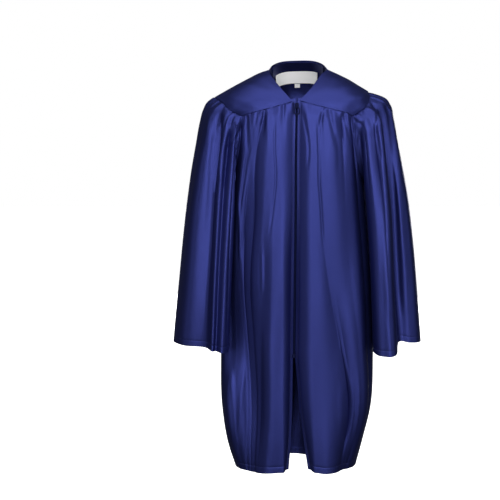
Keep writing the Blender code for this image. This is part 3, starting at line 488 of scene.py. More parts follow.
def smooth(knots, values, at):
    """Reads a smooth curve through the knots. Values may be numbers or points, one a knot."""
    knots = np.asarray(knots, float)
    values = np.asarray(values, float)
    at = np.clip(np.asarray(at, float), knots[0], knots[-1])
    slopes = np.gradient(values, knots, axis=0)
    i = np.clip(np.searchsorted(knots, at) - 1, 0, len(knots) - 2)
    step = knots[i + 1] - knots[i]
    t = (at - knots[i]) / step
    if values.ndim > 1:
        t, step = t[..., None], step[..., None]
    start = (2 * t**3 - 3 * t**2 + 1) * values[i] + (t**3 - 2 * t**2 + t) * step * slopes[i]
    end = (3 * t**2 - 2 * t**3) * values[i + 1] + (t**3 - t**2) * step * slopes[i + 1]
    return start + end


def column(table, names, name):
    return np.array([row[names.index(name)] for row in table])


def falling(table, names, name, height):
    """A column of a table whose heights fall, read at any height."""
    return smooth(-column(table, names, "height"), column(table, names, name), -np.asarray(height))


def ease(t):
    t = np.clip(t, 0, 1)
    return t * t * (3 - 2 * t)


def unit(vectors):
    return vectors / np.maximum(np.linalg.norm(vectors, axis=-1, keepdims=True), 1e-9)


def girth(side, face, height):
    """Half width, half depth and squareness of the body's quarter at a height."""
    across = falling(BODY_GIRTHS, BODY_COLUMNS, side, height)
    along = falling(BODY_GIRTHS, BODY_COLUMNS, face, height)
    return across, along, falling(BODY_GIRTHS, BODY_COLUMNS, "square", height)


# Heights and shares at which the quarter girths are worked out once, to be read between them
LEVEL_TOP = 60.0
LEVEL_STEP = 3.0
LEVEL_COUNT = 262
QUARTER_SAMPLES = 240


def quarter_table(side, face):
    """The quarter girths of a side at even heights: their lengths, and points at even shares."""
    heights = LEVEL_TOP - LEVEL_STEP * np.arange(LEVEL_COUNT)
    across, along, square = (values[:, None] for values in girth(side, face, heights))
    turn = np.linspace(0, np.pi / 2, 3 * QUARTER_SAMPLES)
    x = across * np.sin(turn) ** (2 / square)
    y = along * np.cos(turn) ** (2 / square)
    shares = np.linspace(0, 1, QUARTER_SAMPLES)
    lengths, rows_x, rows_y = [], [], []
    for row_x, row_y in zip(x, y):
        reach = np.concatenate([[0], np.cumsum(np.hypot(np.diff(row_x), np.diff(row_y)))])
        lengths.append(reach[-1])
        rows_x.append(np.interp(shares * reach[-1], reach, row_x))
        rows_y.append(np.interp(shares * reach[-1], reach, row_y))
    return np.array(lengths), np.array(rows_x), np.array(rows_y)


QUARTERS = {
    (side, face): quarter_table(side, face) for side in ("right", "left") for face in ("front", "back")
}


def quarter_length(side, face, height):
    heights = LEVEL_TOP - LEVEL_STEP * np.arange(LEVEL_COUNT)
    return np.interp(-np.asarray(height), -heights, QUARTERS[side, face][0])


def body_points(side, face, height, place, depth=0.0):
    """Points of the body's cloth: places round from the middle, and depths outwards."""
    height, place, depth = np.broadcast_arrays(height, place, depth)
    _, table_x, table_y = QUARTERS[side, face]
    level = np.clip((LEVEL_TOP - height) / LEVEL_STEP, 0, LEVEL_COUNT - 1.001)
    share = np.clip(place / quarter_length(side, face, height), 0, 1) * (QUARTER_SAMPLES - 1)
    row, col = level.astype(int), np.minimum(share.astype(int), QUARTER_SAMPLES - 2)
    down, over = level - row, share - col

    def read(table):
        upper = table[row, col] * (1 - over) + table[row, col + 1] * over
        lower = table[row + 1, col] * (1 - over) + table[row + 1, col + 1] * over
        return upper * (1 - down) + lower * down

    x = np.where(place > 0, read(table_x), place)
    y = read(table_y)
    across, along, square = girth(side, face, height)
    out_x = np.sign(x) * np.abs(x / across) ** (square - 1) / across
    out_y = np.abs(y / along) ** (square - 1) / along
    length = np.hypot(out_x, out_y)
    x = x + depth * out_x / length
    y = y + depth * out_y / length
    return np.stack([x if side == "left" else -x, y if face == "back" else -y, height], axis=-1)


def armhole_share(height, corner):
    """The share of the quarter girth that a panel covers beside the armhole: 1 below it."""
    drop = np.clip((corner - height) / (corner - UNDERARM), 0, 1)
    return ARM_CORNER + (1 - ARM_CORNER) * (1 - np.sqrt(1 - drop**2))


def panel_edge(side, face, height):
    corner = YOKE_FRONT_CORNER if face == "front" else YOKE_BACK_SEAM
    return quarter_length(side, face, height) * armhole_share(height, corner)


def zip_at(height):
    """Where the zip's line runs, and how deep."""
    x = falling(ZIP_LINE, ZIP_COLUMNS, "x", height)
    depth = falling(ZIP_LINE, ZIP_COLUMNS, "depth", height)
    return x, depth


def front_opening(side, height):
    """Place and depth of a front's inner edge: beside the zip, and parted below it."""
    x, depth = zip_at(height)
    closed = (x if side == "left" else -x) + ZIP_HALF_GAP
    parted = falling(SLIT_EDGES, SLIT_COLUMNS, side, height)
    parted_depth = falling(SLIT_EDGES, SLIT_COLUMNS, "depth", height)
    below = np.asarray(height) < ZIP_END
    return np.where(below, parted, closed), np.where(below, parted_depth, depth)


def front_seam_height(side, place):
    """The height of the yoke's front seam, which runs a little lower into its corner."""
    corner_place = quarter_length(side, "front", YOKE_FRONT_CORNER) * ARM_CORNER
    place = np.clip(np.abs(place), 0, corner_place)
    height = YOKE_FRONT_CENTRE - YOKE_FRONT_SLOPES[side] * place
    last = YOKE_FRONT_CENTRE - YOKE_FRONT_SLOPES[side] * corner_place
    return height + (YOKE_FRONT_CORNER - last) * ease((place - corner_place) / CORNER_RUN + 1)


def between_folds(values, steps, eased=True):
    """Values at the folds, filled in between them: straight for places. Depths make round ridges
    and sharp valleys, as gathered cloth does."""
    values = np.asarray(values, float)
    at = np.arange((len(values) - 1) * steps + 1) / steps
    i = np.minimum(at.astype(int), len(values) - 2)
    t = (at - i).reshape(-1, *[1] * (values.ndim - 1))
    if not eased:
        return values[i] + (values[i + 1] - values[i]) * t
    stand = np.zeros(values.shape)
    stand[1:-1] = values[1:-1] - (values[:-2] + values[2:]) / 2
    slope = 1 - VALLEY_SHARPNESS * np.tanh(stand / FOLD_TURN)
    share = slope[i] * (t**3 - 2 * t**2 + t) + 3 * t**2 - 2 * t**3 + slope[i + 1] * (t**3 - t**2)
    return values[i] + (values[i + 1] - values[i]) * share


def route(points, count):
    """Evenly spaced points on a smooth curve through a few."""
    points = np.asarray(points, float)
    along = np.concatenate([[0], np.cumsum(np.linalg.norm(np.diff(points, axis=0), axis=1))])
    dense = smooth(along, points, np.linspace(0, along[-1], ROUTE_SAMPLES))
    length = np.concatenate([[0], np.cumsum(np.linalg.norm(np.diff(dense, axis=0), axis=1))])
    at = np.linspace(0, length[-1], count)
    return np.stack([np.interp(at, length, dense[:, axis]) for axis in range(3)], axis=1)


def yoke_corner(side, face):
    height = YOKE_FRONT_CORNER if face == "front" else YOKE_BACK_SEAM
    place = quarter_length(side, face, height) * ARM_CORNER
    return body_points(side, face, height, place)


def arm_edge(side, face, count):
    """The yoke's edge at the sleeve, from its lower corner to the tip of the shoulder."""
    yoke = RIGHT_YOKE if side == "right" else LEFT_YOKE
    tip = yoke["shoulder"][-1]
    points = [yoke_corner(side, face), *reversed(yoke[face + " arm"]), tip]
    return route(points, count)


def patch(bottom, top, first, last, bulge, outward):
    """A surface inside four edges. Rows go from bottom to top, columns from first to last."""
    u = np.linspace(0, 1, len(bottom))[None, :, None]
    v = np.linspace(0, 1, len(first))[:, None, None]
    ruled = (1 - v) * bottom[None] + v * top[None] + (1 - u) * first[:, None] + u * last[:, None]
    corners = (1 - u) * (1 - v) * bottom[0] + u * (1 - v) * bottom[-1]
    corners = corners + (1 - u) * v * top[0] + u * v * top[-1]
    rise = bulge * (np.sin(np.pi * u) * np.sin(np.pi * v)) ** BULGE_POWER
    return ruled - corners + rise * unit(np.array(outward, float))


def shoulder(side, count):
    """The shoulder seam, from the neck to the sleeve."""
    yoke = RIGHT_YOKE if side == "right" else LEFT_YOKE
    return route([yoke["neck"][-1], *yoke["shoulder"]], count)


def around(values, steps):
    """A smooth closed curve through the values of a ring, with a number of steps a fold."""
    values = np.asarray(values, float)
    count = len(values)
    wrapped = np.concatenate([values[-3:], values, values[:4]])
    return smooth(np.arange(-3, count + 4), wrapped, np.arange(count * steps) / steps)


def normals(grid, centre, closed):
    """Unit vectors out of the cloth, away from the centre."""
    if closed:
        across = np.roll(grid, -1, axis=1) - np.roll(grid, 1, axis=1)
    else:
        across = np.gradient(grid, axis=1)
    out = unit(np.cross(across, np.gradient(grid, axis=0)))
    sign = np.sign(np.mean(np.sum(out * (grid - centre), axis=-1)))
    return out * sign


def trimmed(grid, distance, closed):
    """The grid with its edges drawn in, never by more than part of their own cell."""

    def moved(edge, inner):
        step = inner - edge
        length = np.linalg.norm(step, axis=-1, keepdims=True)
        return edge + unit(step) * np.minimum(distance, TRIM_LIMIT * length)

    result = grid.copy()
    result[0], result[-1] = moved(grid[0], grid[1]), moved(grid[-1], grid[-2])
    if not closed:
        before = result.copy()
        result[:, 0] = moved(before[:, 0], before[:, 1])
        result[:, -1] = moved(before[:, -1], before[:, -2])
    return result


def window(grid, x_range, rows, columns):
    """Part of a grid between two values of x, over a range of its rows."""
    at_rows = np.asarray(rows) * (len(grid) - 1)
    low = np.minimum(at_rows.astype(int), len(grid) - 2)
    part = at_rows - low
    picked = []
    for first, share in zip(low, part):
        row = grid[first] + (grid[first + 1] - grid[first]) * share
        x = np.linspace(*x_range, columns)
        picked.append(np.stack([np.interp(x, row[:, 0], row[:, axis]) for axis in range(3)], axis=1))
    return np.array(picked)


def row_shares(length, rows, hem):
    """Shares of a length at which rows lie: closer at the seam, and close on the turned hem."""
    near_hem = 1 - np.array([NEAR_HEM, *(hem + step for step in NEAR_HEM_STITCHES)]) / length
    near_seam = np.array(NEAR_SEAM) / length
    return np.unique(np.concatenate([np.linspace(0, 1, rows + 1) ** ROW_POWER, near_seam, near_hem]))


def front_panel(side):
    """Outer points of a front, how far each lies round from the middle, and below its seam."""
    folds = RIGHT_FRONT_FOLDS if side == "right" else LEFT_FRONT_FOLDS
    shares = row_shares(YOKE_FRONT_CENTRE - HEM, BODY_ROWS, HEM_TURN)
    level = YOKE_FRONT_CENTRE + (HEM - YOKE_FRONT_CENTRE) * shares
    inner, inner_depth = front_opening(side, level)
    welt = smooth(-np.array(LEVELS), WELT_DEPTHS, -level)
    places = [smooth(-np.array(LEVELS), fold[1], -level) for fold in folds]
    depths = [smooth(-np.array(LEVELS), fold[2], -level) for fold in folds]
    soft = ease(shares / SEAM_SHARE)
    edge = panel_edge(side, "front", YOKE_FRONT_CORNER + (HEM - YOKE_FRONT_CORNER) * shares)
    at = between_folds([inner, inner + WELT, *places, edge], FRONT_STEPS, eased=False).T
    depths = [inner_depth, inner_depth + welt, *(depth * soft for depth in depths), -soft]
    out = between_folds(depths, FRONT_STEPS).T
    dips = [*SLIT_DIPS, *column(folds, FOLD_COLUMNS, "dip"), 0]
    top = front_seam_height(side, at)
    share = shares[:, None]
    down = top + (HEM - top) * share - between_folds(dips, FRONT_STEPS) * share**DIP_POWER
    return body_points(side, "front", down, at, out), at, top - down


def back_panel():
    """Outer points of the back, columns from the wearer's right side to the left."""
    shares = row_shares(YOKE_BACK_SEAM - HEM, BODY_ROWS, HEM_TURN)
    height = YOKE_BACK_SEAM + (HEM - YOKE_BACK_SEAM) * shares
    soft = ease(shares / SEAM_SHARE)
    places = [smooth(-np.array(LEVELS), fold[1], -height) for fold in BACK_FOLDS]
    depths = [smooth(-np.array(LEVELS), fold[2], -height) * soft for fold in BACK_FOLDS]
    edges = [panel_edge(side, "back", height) for side in ("right", "left")]
    at = between_folds([-edges[0], *places, edges[1]], BACK_STEPS, eased=False).T
    out = between_folds([-soft, *depths, -soft], BACK_STEPS).T
    dips = [0, *column(BACK_FOLDS, FOLD_COLUMNS, "dip"), 0]
    down = height[:, None] - between_folds(dips, BACK_STEPS) * shares[:, None] ** DIP_POWER
    sides = [body_points(side, "back", down, np.abs(at), out) for side in ("left", "right")]
    return np.where(at[..., None] > 0, sides[0], sides[1]), at, YOKE_BACK_SEAM - down


def front_yoke(side):
    """Outer points of half the front yoke, columns from the zip to the sleeve."""
    yoke = RIGHT_YOKE if side == "right" else LEFT_YOKE
    corner_place = quarter_length(side, "front", YOKE_FRONT_CORNER) * ARM_CORNER
    place = np.linspace(yoke["first"], corner_place, YOKE_COLUMNS)
    seam = body_points(side, "front", front_seam_height(side, place), place)
    neck = route([seam[0], *yoke["neck"]], YOKE_ROWS)
    arm = arm_edge(side, "front", YOKE_ROWS)
    top = shoulder(side, YOKE_COLUMNS)
    return patch(seam, top, neck, arm, FRONT_YOKE_BULGE, FRONT_YOKE_OUTWARD)


def back_yoke():
    """Outer points of the back yoke, columns from the wearer's right sleeve to the left."""
    columns = 3 * YOKE_COLUMNS
    corners = [quarter_length(side, "back", YOKE_BACK_SEAM) * ARM_CORNER for side in ("right", "left")]
    place = np.linspace(-corners[0], corners[1], columns)
    sides = [body_points(side, "back", YOKE_BACK_SEAM, np.abs(place)) for side in ("left", "right")]
    seam = np.where(place[:, None] > 0, sides[0], sides[1])
    neck = [RIGHT_YOKE["neck"][-1], *BACK_NECK, LEFT_YOKE["neck"][-1]]
    shoulders = [shoulder(side, YOKE_COLUMNS + 1) for side in ("right", "left")]
    top = [*shoulders[0][::-1], *route(neck, YOKE_COLUMNS)[1:-1], *shoulders[1]]
    arms = [arm_edge(side, "back", YOKE_ROWS) for side in ("right", "left")]
    return patch(seam, np.array(top), *arms, BACK_YOKE_BULGE, BACK_YOKE_OUTWARD)


def armhole(side, shares):
    """Points of the seam round the top of a sleeve, from the shoulder by the front and underarm."""
    halves = []
    for face in ("front", "back"):
        corner = YOKE_FRONT_CORNER if face == "front" else YOKE_BACK_SEAM
        height = corner + (UNDERARM - corner) * np.sin(np.linspace(0, np.pi / 2, ARMHOLE_POINTS)[1:])
        below = body_points(side, face, height, panel_edge(side, face, height))
        halves.append([*arm_edge(side, face, ARM_EDGE_POINTS)[::-1], *below])
    loop = np.array(halves[0] + halves[1][::-1][1:])
    length = np.concatenate([[0], np.cumsum(np.linalg.norm(np.diff(loop, axis=0), axis=1))])
    at = np.asarray(shares) * length[-1]
    return np.stack([np.interp(at, length, loop[:, axis]) for axis in range(3)], axis=-1), at


def clear_of_body(side, points, margin):
    """Moves points out where they come nearer than the margin to the body's girth."""
    x, y, z = np.moveaxis(points, -1, 0)
    sizes = zip(girth(side, "front", z), girth(side, "back", z))
    across, along, square = (np.where(y < 0, front, back) for front, back in sizes)
    reach = (np.abs(x) / (across + margin)) ** square + (np.abs(y) / (along + margin)) ** square
    scale = np.where(reach < 1, np.maximum(reach, 1e-6) ** (-1 / square), 1)
    return points * np.stack([scale, scale, np.ones_like(scale)], axis=-1)


def sleeve(side):
    """Outer points of a sleeve, places round the armhole, and drops below it."""
    folds = RIGHT_SLEEVE_FOLDS if side == "right" else LEFT_SLEEVE_FOLDS
    start = np.append(column(folds, SLEEVE_COLUMNS, "start"), 1.0)
    top, at = armhole(side, between_folds(start, SLEEVE_STEPS, eased=False)[:-1])
    cuff = around(np.array([row[1:4] for row in folds]), SLEEVE_STEPS)
    flat = np.zeros(len(folds))
    levels = [flat, *(column(folds, SLEEVE_COLUMNS, name) for name in ("head", "upper", "lower")), flat]
    depths = np.array([between_folds(np.append(v, v[0]), SLEEVE_STEPS)[:-1] for v in levels])
    shares = row_shares(SLEEVE_LENGTH, SLEEVE_ROWS, CUFF_TURN)
    knots = column(SLEEVE_SPREAD, SPREAD_COLUMNS, "length")
    spread = smooth(knots, column(SLEEVE_SPREAD, SPREAD_COLUMNS, side), shares)
    rings = top + (cuff - top) * spread[:, None, None]
    rings[..., 2] = top[:, 2] + (cuff[:, 2] - top[:, 2]) * shares[:, None]
    out = smooth(SLEEVE_DEPTH_LEVELS, depths, shares)
    ahead = np.roll(rings, -1, axis=1) - np.roll(rings, 1, axis=1)
    turn = 1 if side == "right" else -1
    outward = unit(np.stack([ahead[..., 1], -ahead[..., 0], np.zeros(out.shape)], axis=-1)) * turn
    rings = rings + outward * out[..., None]
    drop = top[:, 2] - rings[..., 2]
    margin = np.minimum(SLEEVE_CLEARANCE, SLEEVE_SEAM_LIFT + SLEEVE_OPENING * drop)
    return clear_of_body(side, rings, margin), np.broadcast_to(at, drop.shape), drop


def gathers(at, drop, seed):
    """Small uneven gathers below a seam, from places along it and drops below it."""
    random = np.random.default_rng(seed)
    out = np.zeros(drop.shape)
    place = at.min()
    while place < at.max():
        width = GATHER_SPACING * random.uniform(*GATHER_WIDTHS)
        lean = random.uniform(*GATHER_LEANS)
        reach = GATHER_LENGTH * random.uniform(*GATHER_REACHES)
        height = GATHER_RISE * random.uniform(*GATHER_HEIGHTS)
        fade = np.exp(-((np.maximum(drop, 0) / reach) ** GATHER_FALL))
        fade = ease(drop / GATHER_START[0] + GATHER_START[1]) * fade
        out += height * fade * np.exp(-(((at - place - lean * drop) / width) ** 2))
        place += GATHER_SPACING * random.uniform(*GATHER_STEPS)
    return out


def ripples(at, drop, seed, rise=RIPPLE_RISE, across=RIPPLE_ACROSS, down=RIPPLE_DOWN):
    """Slow unevenness of hanging cloth, as waves of several lengths across and down."""
    random = np.random.default_rng(seed)
    out = np.zeros(drop.shape)
    for _ in range(RIPPLE_WAVES):
        wave = 2 * np.pi / (across * random.uniform(*ACROSS_SHARES))
        fall = 2 * np.pi / (down * random.uniform(*DOWN_SHARES)) * random.choice((-1, 1))
        out += rise / 3 * np.sin(wave * at + fall * drop + random.uniform(0, 2 * np.pi))
    return out


def crease(points, path, width, depth, top_fade, end_fade):
    """How far a soft trough, or a ridge where depth is above 0, moves points seen from the front."""
    knots = np.array(path, float)
    x, z = points[..., 0], points[..., 2]
    line = smooth(-knots[:, 1], knots[:, 0], -z)
    below, above = (smooth(-knots[:, 1], knots[:, 0], step - z) for step in (LEAN_STEP, -LEAN_STEP))
    off = (x - line) / np.sqrt(1 + ((below - above) / LEAN_STEP / 2) ** 2) / width
    fade = ease((knots[0, 1] - z) / top_fade) * ease((z - knots[-1, 1]) / end_fade)
    return depth * fade * (np.exp(-(off**2)) - RIM_SHARE * np.exp(-((off / RIM_WIDTH) ** 2)))


def creased(points, table):
    out = np.zeros(points.shape[:-1])
    for _, path, width, depth, top_fade, end_fade in table:
        out += crease(points, path, width, depth, top_fade, end_fade)
    return out


def displaced(grid, centre, closed, out):
    """The grid with each point moved out of the cloth."""
    return grid + normals(grid, centre, closed) * out[..., None]


def quads(rows, columns, closed):
    """Faces of a grid, as the numbers of their corners."""
    row = np.arange(rows - 1)[:, None]
    col = np.arange(columns if closed else columns - 1)[None]
    right = (col + 1) % columns
    corners = [row * columns + col, row * columns + right, (row + 1) * columns + right]
    corners.append((row + 1) * columns + col)
    return np.stack(np.broadcast_arrays(*corners), axis=-1).reshape(-1, 4)


def border(rows, columns, closed):
    """Numbers of the points round the edge of a grid, as one loop or two."""
    first = np.arange(columns)
    last = (rows - 1) * columns + first
    if closed:
        return [np.append(first, 0), np.append(last, last[0])[::-1]]
    down = np.arange(rows) * columns
    return [np.concatenate([first, down[1:] + columns - 1, last[::-1][1:], down[::-1][1:]])]


def wall_mesh(outer, inner, closed):
    """Vertices and faces of a thin wall between two grids, with its edges closed."""
    rows, columns = outer.shape[:2]
    count = rows * columns
    vertices = np.concatenate([outer.reshape(-1, 3), inner.reshape(-1, 3)])
    sheet = quads(rows, columns, closed)
    faces = [sheet[:, ::-1], sheet + count]
    for loop in border(rows, columns, closed):
        a, b = loop[:-1], loop[1:]
        faces.append(np.stack([a, b, b + count, a + count], axis=-1))
    return vertices, np.concatenate(faces)


def volume_sign(vertices, faces):
    a, b, c, d = (vertices[faces[:, i]] for i in range(4))
    volume = np.sum(a * np.cross(b, c)) + np.sum(a * np.cross(c, d))
    return 1 if volume > 0 else -1


def make_object(name, vertices, faces, material, body="gown", sharp=60, places=None):
    """A piece from points in millimetres, its faces turned outwards, that rides on a body."""
    vertices, faces = np.asarray(vertices, float), np.asarray(faces)
    if faces.shape[1] == 4 and volume_sign(vertices, faces) < 0:
        faces = faces[:, ::-1]
    mesh = bpy.data.meshes.new(name)
    mesh.from_pydata((vertices * MM).tolist(), [], faces.tolist())
    mesh.materials.append(material)
    mesh.shade_smooth()
    mesh.set_sharp_from_angle(angle=np.radians(sharp))
    if places is not None:
        layer = mesh.uv_layers.new(name="weave")
        corner = np.zeros(len(mesh.loops), int)
        mesh.loops.foreach_get("vertex_index", corner)
        layer.data.foreach_set("uv", (np.asarray(places)[corner] * MM).ravel())
    obj = bpy.data.objects.new(name, mesh)
    bpy.context.scene.collection.objects.link(obj)
    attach(obj, body)
    return obj


def lengths_of(grid, closed):
    """The longest row and the longest column of a grid, and its area, in metres."""
    around = np.concatenate([grid, grid[:, :1]], axis=1) if closed else grid
    rows = np.linalg.norm(np.diff(around, axis=1), axis=-1).sum(axis=1)
    columns = np.linalg.norm(np.diff(grid, axis=0), axis=-1).sum(axis=0)
    over = around[1:, :-1] - around[:-1, :-1]
    along = around[:-1, 1:] - around[:-1, :-1]
    area = np.linalg.norm(np.cross(over, along), axis=-1).sum()
    return rows.max() * MM, columns.max() * MM, area * MM * MM


def seam_allowance(grid, node):
    """A row of points that reaches from a piece's top edge to under the piece it is sewn to."""
    edge = grid[0]
    if "sleeve" in node:
        middle = np.array([0, 0, (edge[:, 2].min() + edge[:, 2].max()) / 2])
        inwards = unit((middle - edge) * (0, 1, 1))
        rise = SHOULDER_RISE * -inwards[:, 2:]
        level = np.concatenate([-np.sign(edge[:, :1]), 0 * edge[:, :1], rise], axis=1)
        return edge + ALLOWANCE * level + SLEEVE_SINK * inwards
    sink = np.array([0, -1 if node == "back" else 1, 0])
    return edge + ALLOWANCE * np.array([0, 0, 1]) + ALLOWANCE_SINK * sink


def cloth(name, node, grid, centre, material, at, drop, held, closed=False, turned=None):
    """A thin shell of cloth that replaces a node, thicker where its edge is turned up."""
    thickness = np.full(grid.shape[:2], SHELL)
    if turned is not None:
        thickness += HEM_EXTRA * ease(turned)
    outer = trimmed(grid, SEAM / 2, closed)
    out = normals(grid, centre, closed)
    if held == "gathered":
        outer = np.concatenate([seam_allowance(grid, node)[None], outer])
        out, thickness = (np.concatenate([values[:1], values]) for values in (out, thickness))
        at, drop = np.concatenate([at[:1], at]), np.concatenate([drop[:1] - ALLOWANCE, drop])
    inner = outer - out * thickness[..., None]
    places = np.stack([at.ravel(), drop.ravel()], axis=1)
    vertices, faces = wall_mesh(outer, inner, closed)
    piece = make_object(name, vertices, faces, material, places=np.concatenate([places, places]))
    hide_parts(node)
    width, length, area = lengths_of(grid, closed)
    width, length = max(width, SMALLEST_CUT), max(length, SMALLEST_CUT)
    return piece


def grains(ends, sides, outs):
    """Vertices and faces of many small grains, each pointed at its ends and widest in its middle."""
    first, last = ends
    middle = (first + last) / 2
    corners = [first, last, middle + sides, middle + outs, middle - sides, middle - outs]
    vertices = np.stack(corners, axis=1).reshape(-1, 3)
    ring = [(i, i % 4 + 1) for i in range(1, 5)]
    pattern = [(0, a + 1, b + 1) for a, b in ring] + [(1, b + 1, a + 1) for a, b in ring]
    faces = np.arange(len(first))[:, None, None] * len(corners) + np.array(pattern)
    return vertices, faces.reshape(-1, 3)


def sewn(name, lines, material):
    """Rows of small stitches along lines on the cloth, each its points and the ways out there."""
    firsts, lasts, sides, outs = [], [], [], []
    for points, out in lines:
        reach = np.concatenate([[0], np.cumsum(np.linalg.norm(np.diff(points, axis=0), axis=1))])
        at = np.arange(STITCH["pitch"], reach[-1] - STITCH["pitch"], STITCH["pitch"])

        def read(values, where, reach=reach):
            return np.stack([np.interp(where, reach, values[:, axis]) for axis in range(3)], axis=1)

        firsts.append(read(points, at - STITCH["length"] / 2))
        lasts.append(read(points, at + STITCH["length"] / 2))
        outs.append(unit(read(out, at)))
        sides.append(unit(np.cross(lasts[-1] - firsts[-1], outs[-1])) * STITCH["width"] / 2)
    ends = np.concatenate(firsts), np.concatenate(lasts)
    vertices, faces = grains(ends, np.concatenate(sides), np.concatenate(outs) * STITCH["height"])
    return make_object(name, vertices, faces, material)


def row_line(grid, centre, closed, row):
    """A row of a grid as a line to sew along."""
    out = normals(grid, centre, closed)
    return grid[row], out[row]


def column_line(grid, centre, column):
    return grid[:, column], normals(grid, centre, False)[:, column]


def front_edge_y(height):
    """How far forward the fronts' edges lie beside the zip."""
    _, depth = zip_at(height)
    _, along, _ = girth("left", "front", height)
    return -(along + depth)


def make_teeth(material):
    """The closed coil's turns, from one side and the other in turn."""
    heights = np.arange(ZIP_END + TOOTH["pitch"], ZIP_TOP, TOOTH["pitch"] / 2)
    x, _ = zip_at(heights)
    y = front_edge_y(heights) - COIL_PROUD
    hand = np.where(np.arange(len(heights)) % 2 == 0, 1, -1)
    middle = np.stack([x + hand * TOOTH["side"], y, heights], axis=1)
    reach = np.array([TOOTH["reach"] / 2, 0, 0])
    ends = middle - reach, middle + reach
    up = np.broadcast_to([0, 0, -TOOTH["width"] / 2], middle.shape)
    out = np.broadcast_to([0, -TOOTH["height"], 0], middle.shape)
    return make_object("zip_teeth", *grains(ends, up, out), material)


def node_material(name, colour, roughness):
    material = bpy.data.materials.new(name)
    material.use_nodes = True
    shader = material.node_tree.nodes["Principled BSDF"]
    shader.inputs["Base Color"].default_value = colour
    shader.inputs["Roughness"].default_value = roughness
    return material, shader


def add(material, kind, **values):
    node = material.node_tree.nodes.new(kind)
    for key, value in values.items():
        setattr(node, key, value)
    return node


def link(material, output, socket):
    material.node_tree.links.new(output, socket)


def noise(material, coordinates, scale, stretch, detail=2.0):
    """A noise texture stretched by different amounts along its three axes."""
    mapping = add(material, "ShaderNodeMapping")
    mapping.inputs["Scale"].default_value = stretch
    texture = add(material, "ShaderNodeTexNoise")
    texture.inputs["Scale"].default_value = scale
    texture.inputs["Detail"].default_value = detail
    link(material, coordinates, mapping.inputs["Vector"])
    link(material, mapping.outputs["Vector"], texture.inputs["Vector"])
    return texture.outputs["Fac"]


def bump(material, height, distance, strength, below=None):
    node = add(material, "ShaderNodeBump")
    node.inputs["Distance"].default_value = distance
    node.inputs["Strength"].default_value = strength
    link(material, height, node.inputs["Height"])
    if below is not None:
        link(material, below, node.inputs["Normal"])
    return node.outputs["Normal"]


def spread(material, value, low, high):
    node = add(material, "ShaderNodeMapRange")
    node.inputs["To Min"].default_value = low
    node.inputs["To Max"].default_value = high
    link(material, value, node.inputs["Value"])
    return node.outputs["Result"]


def blended(material, share, first, second):
    node = add(material, "ShaderNodeMix", data_type="RGBA")
    node.inputs["A"].default_value = first
    node.inputs["B"].default_value = second
    link(material, share, node.inputs["Factor"])
    return node.outputs["Result"]


def satin():
    material, shader = node_material("navy_satin", (0.024, 0.03, 0.15, 1), 0.5)
    shader.inputs["Metallic"].default_value = 0.95
    shader.inputs["Specular IOR Level"].default_value = 0.3
    places = add(material, "ShaderNodeTexCoord")
    broad = noise(material, places.outputs["Object"], 9, (1, 1, 0.4))
    colour = blended(material, broad, (0.0215, 0.0285, 0.138, 1), (0.0265, 0.0335, 0.157, 1))
    link(material, colour, shader.inputs["Base Color"])
    streaks = noise(material, places.outputs["UV"], 1, (900, 60, 1), 1.0)
    link(material, spread(material, streaks, 0.44, 0.54), shader.inputs["Roughness"])
    soft = bump(material, noise(material, places.outputs["Object"], 1, (60, 60, 14)), 0.0012, 0.35)
    floats = bump(material, streaks, 0.0002, 0.25, soft)
    weave = add(material, "ShaderNodeTexWave", bands_direction="DIAGONAL")
    weave.inputs["Scale"].default_value = 700
    weave.inputs["Distortion"].default_value = 0.6
    link(material, places.outputs["UV"], weave.inputs["Vector"])
    fine = bump(material, weave.outputs["Fac"], 0.0001, 0.15, floats)
    link(material, fine, shader.inputs["Normal"])
    return material


def ribbon():
    material, shader = node_material("white_ribbon", (0.95, 0.955, 0.96, 1), 0.6)
    places = add(material, "ShaderNodeTexCoord")
    ribs = add(material, "ShaderNodeTexWave", bands_direction="Y")
    ribs.inputs["Scale"].default_value = 320
    ribs.inputs["Distortion"].default_value = 0.4
    link(material, places.outputs["UV"], ribs.inputs["Vector"])
    speckle = noise(material, places.outputs["UV"], 1, (1500, 500, 1))
    colour = blended(material, speckle, (0.9, 0.905, 0.91, 1), (0.99, 0.99, 0.99, 1))
    link(material, colour, shader.inputs["Base Color"])
    link(material, bump(material, ribs.outputs["Fac"], 0.0002, 0.4), shader.inputs["Normal"])
    return material


def tape():
    material, shader = node_material("zip_tape", (0.002, 0.003, 0.018, 1), 0.8)
    shader.inputs["Specular IOR Level"].default_value = 0.08
    shader.inputs["Specular Tint"].default_value = (0.35, 0.4, 1, 1)
    places = add(material, "ShaderNodeTexCoord")
    twill = add(material, "ShaderNodeTexWave", bands_direction="DIAGONAL")
    twill.inputs["Scale"].default_value = 260
    link(material, places.outputs["Object"], twill.inputs["Vector"])
    speckle = noise(material, places.outputs["Object"], 700, (1, 1, 1))
    colour = blended(material, speckle, (0.0012, 0.002, 0.012, 1), (0.003, 0.0045, 0.024, 1))
    link(material, colour, shader.inputs["Base Color"])
    link(material, bump(material, twill.outputs["Fac"], 0.0002, 0.4), shader.inputs["Normal"])
    return material


def lacquer():
    material, shader = node_material("dark_lacquer", (0.004, 0.005, 0.024, 1), 0.5)
    shader.inputs["Specular IOR Level"].default_value = 0.1
    shader.inputs["Specular Tint"].default_value = (0.35, 0.4, 1, 1)
    places = add(material, "ShaderNodeTexCoord")
    wear = noise(material, places.outputs["Object"], 900, (1, 1, 0.3), 4.0)
    link(material, spread(material, wear, 0.4, 0.6), shader.inputs["Roughness"])
    colour = blended(material, wear, (0.002, 0.003, 0.016, 1), (0.006, 0.008, 0.034, 1))
    link(material, colour, shader.inputs["Base Color"])
    return material


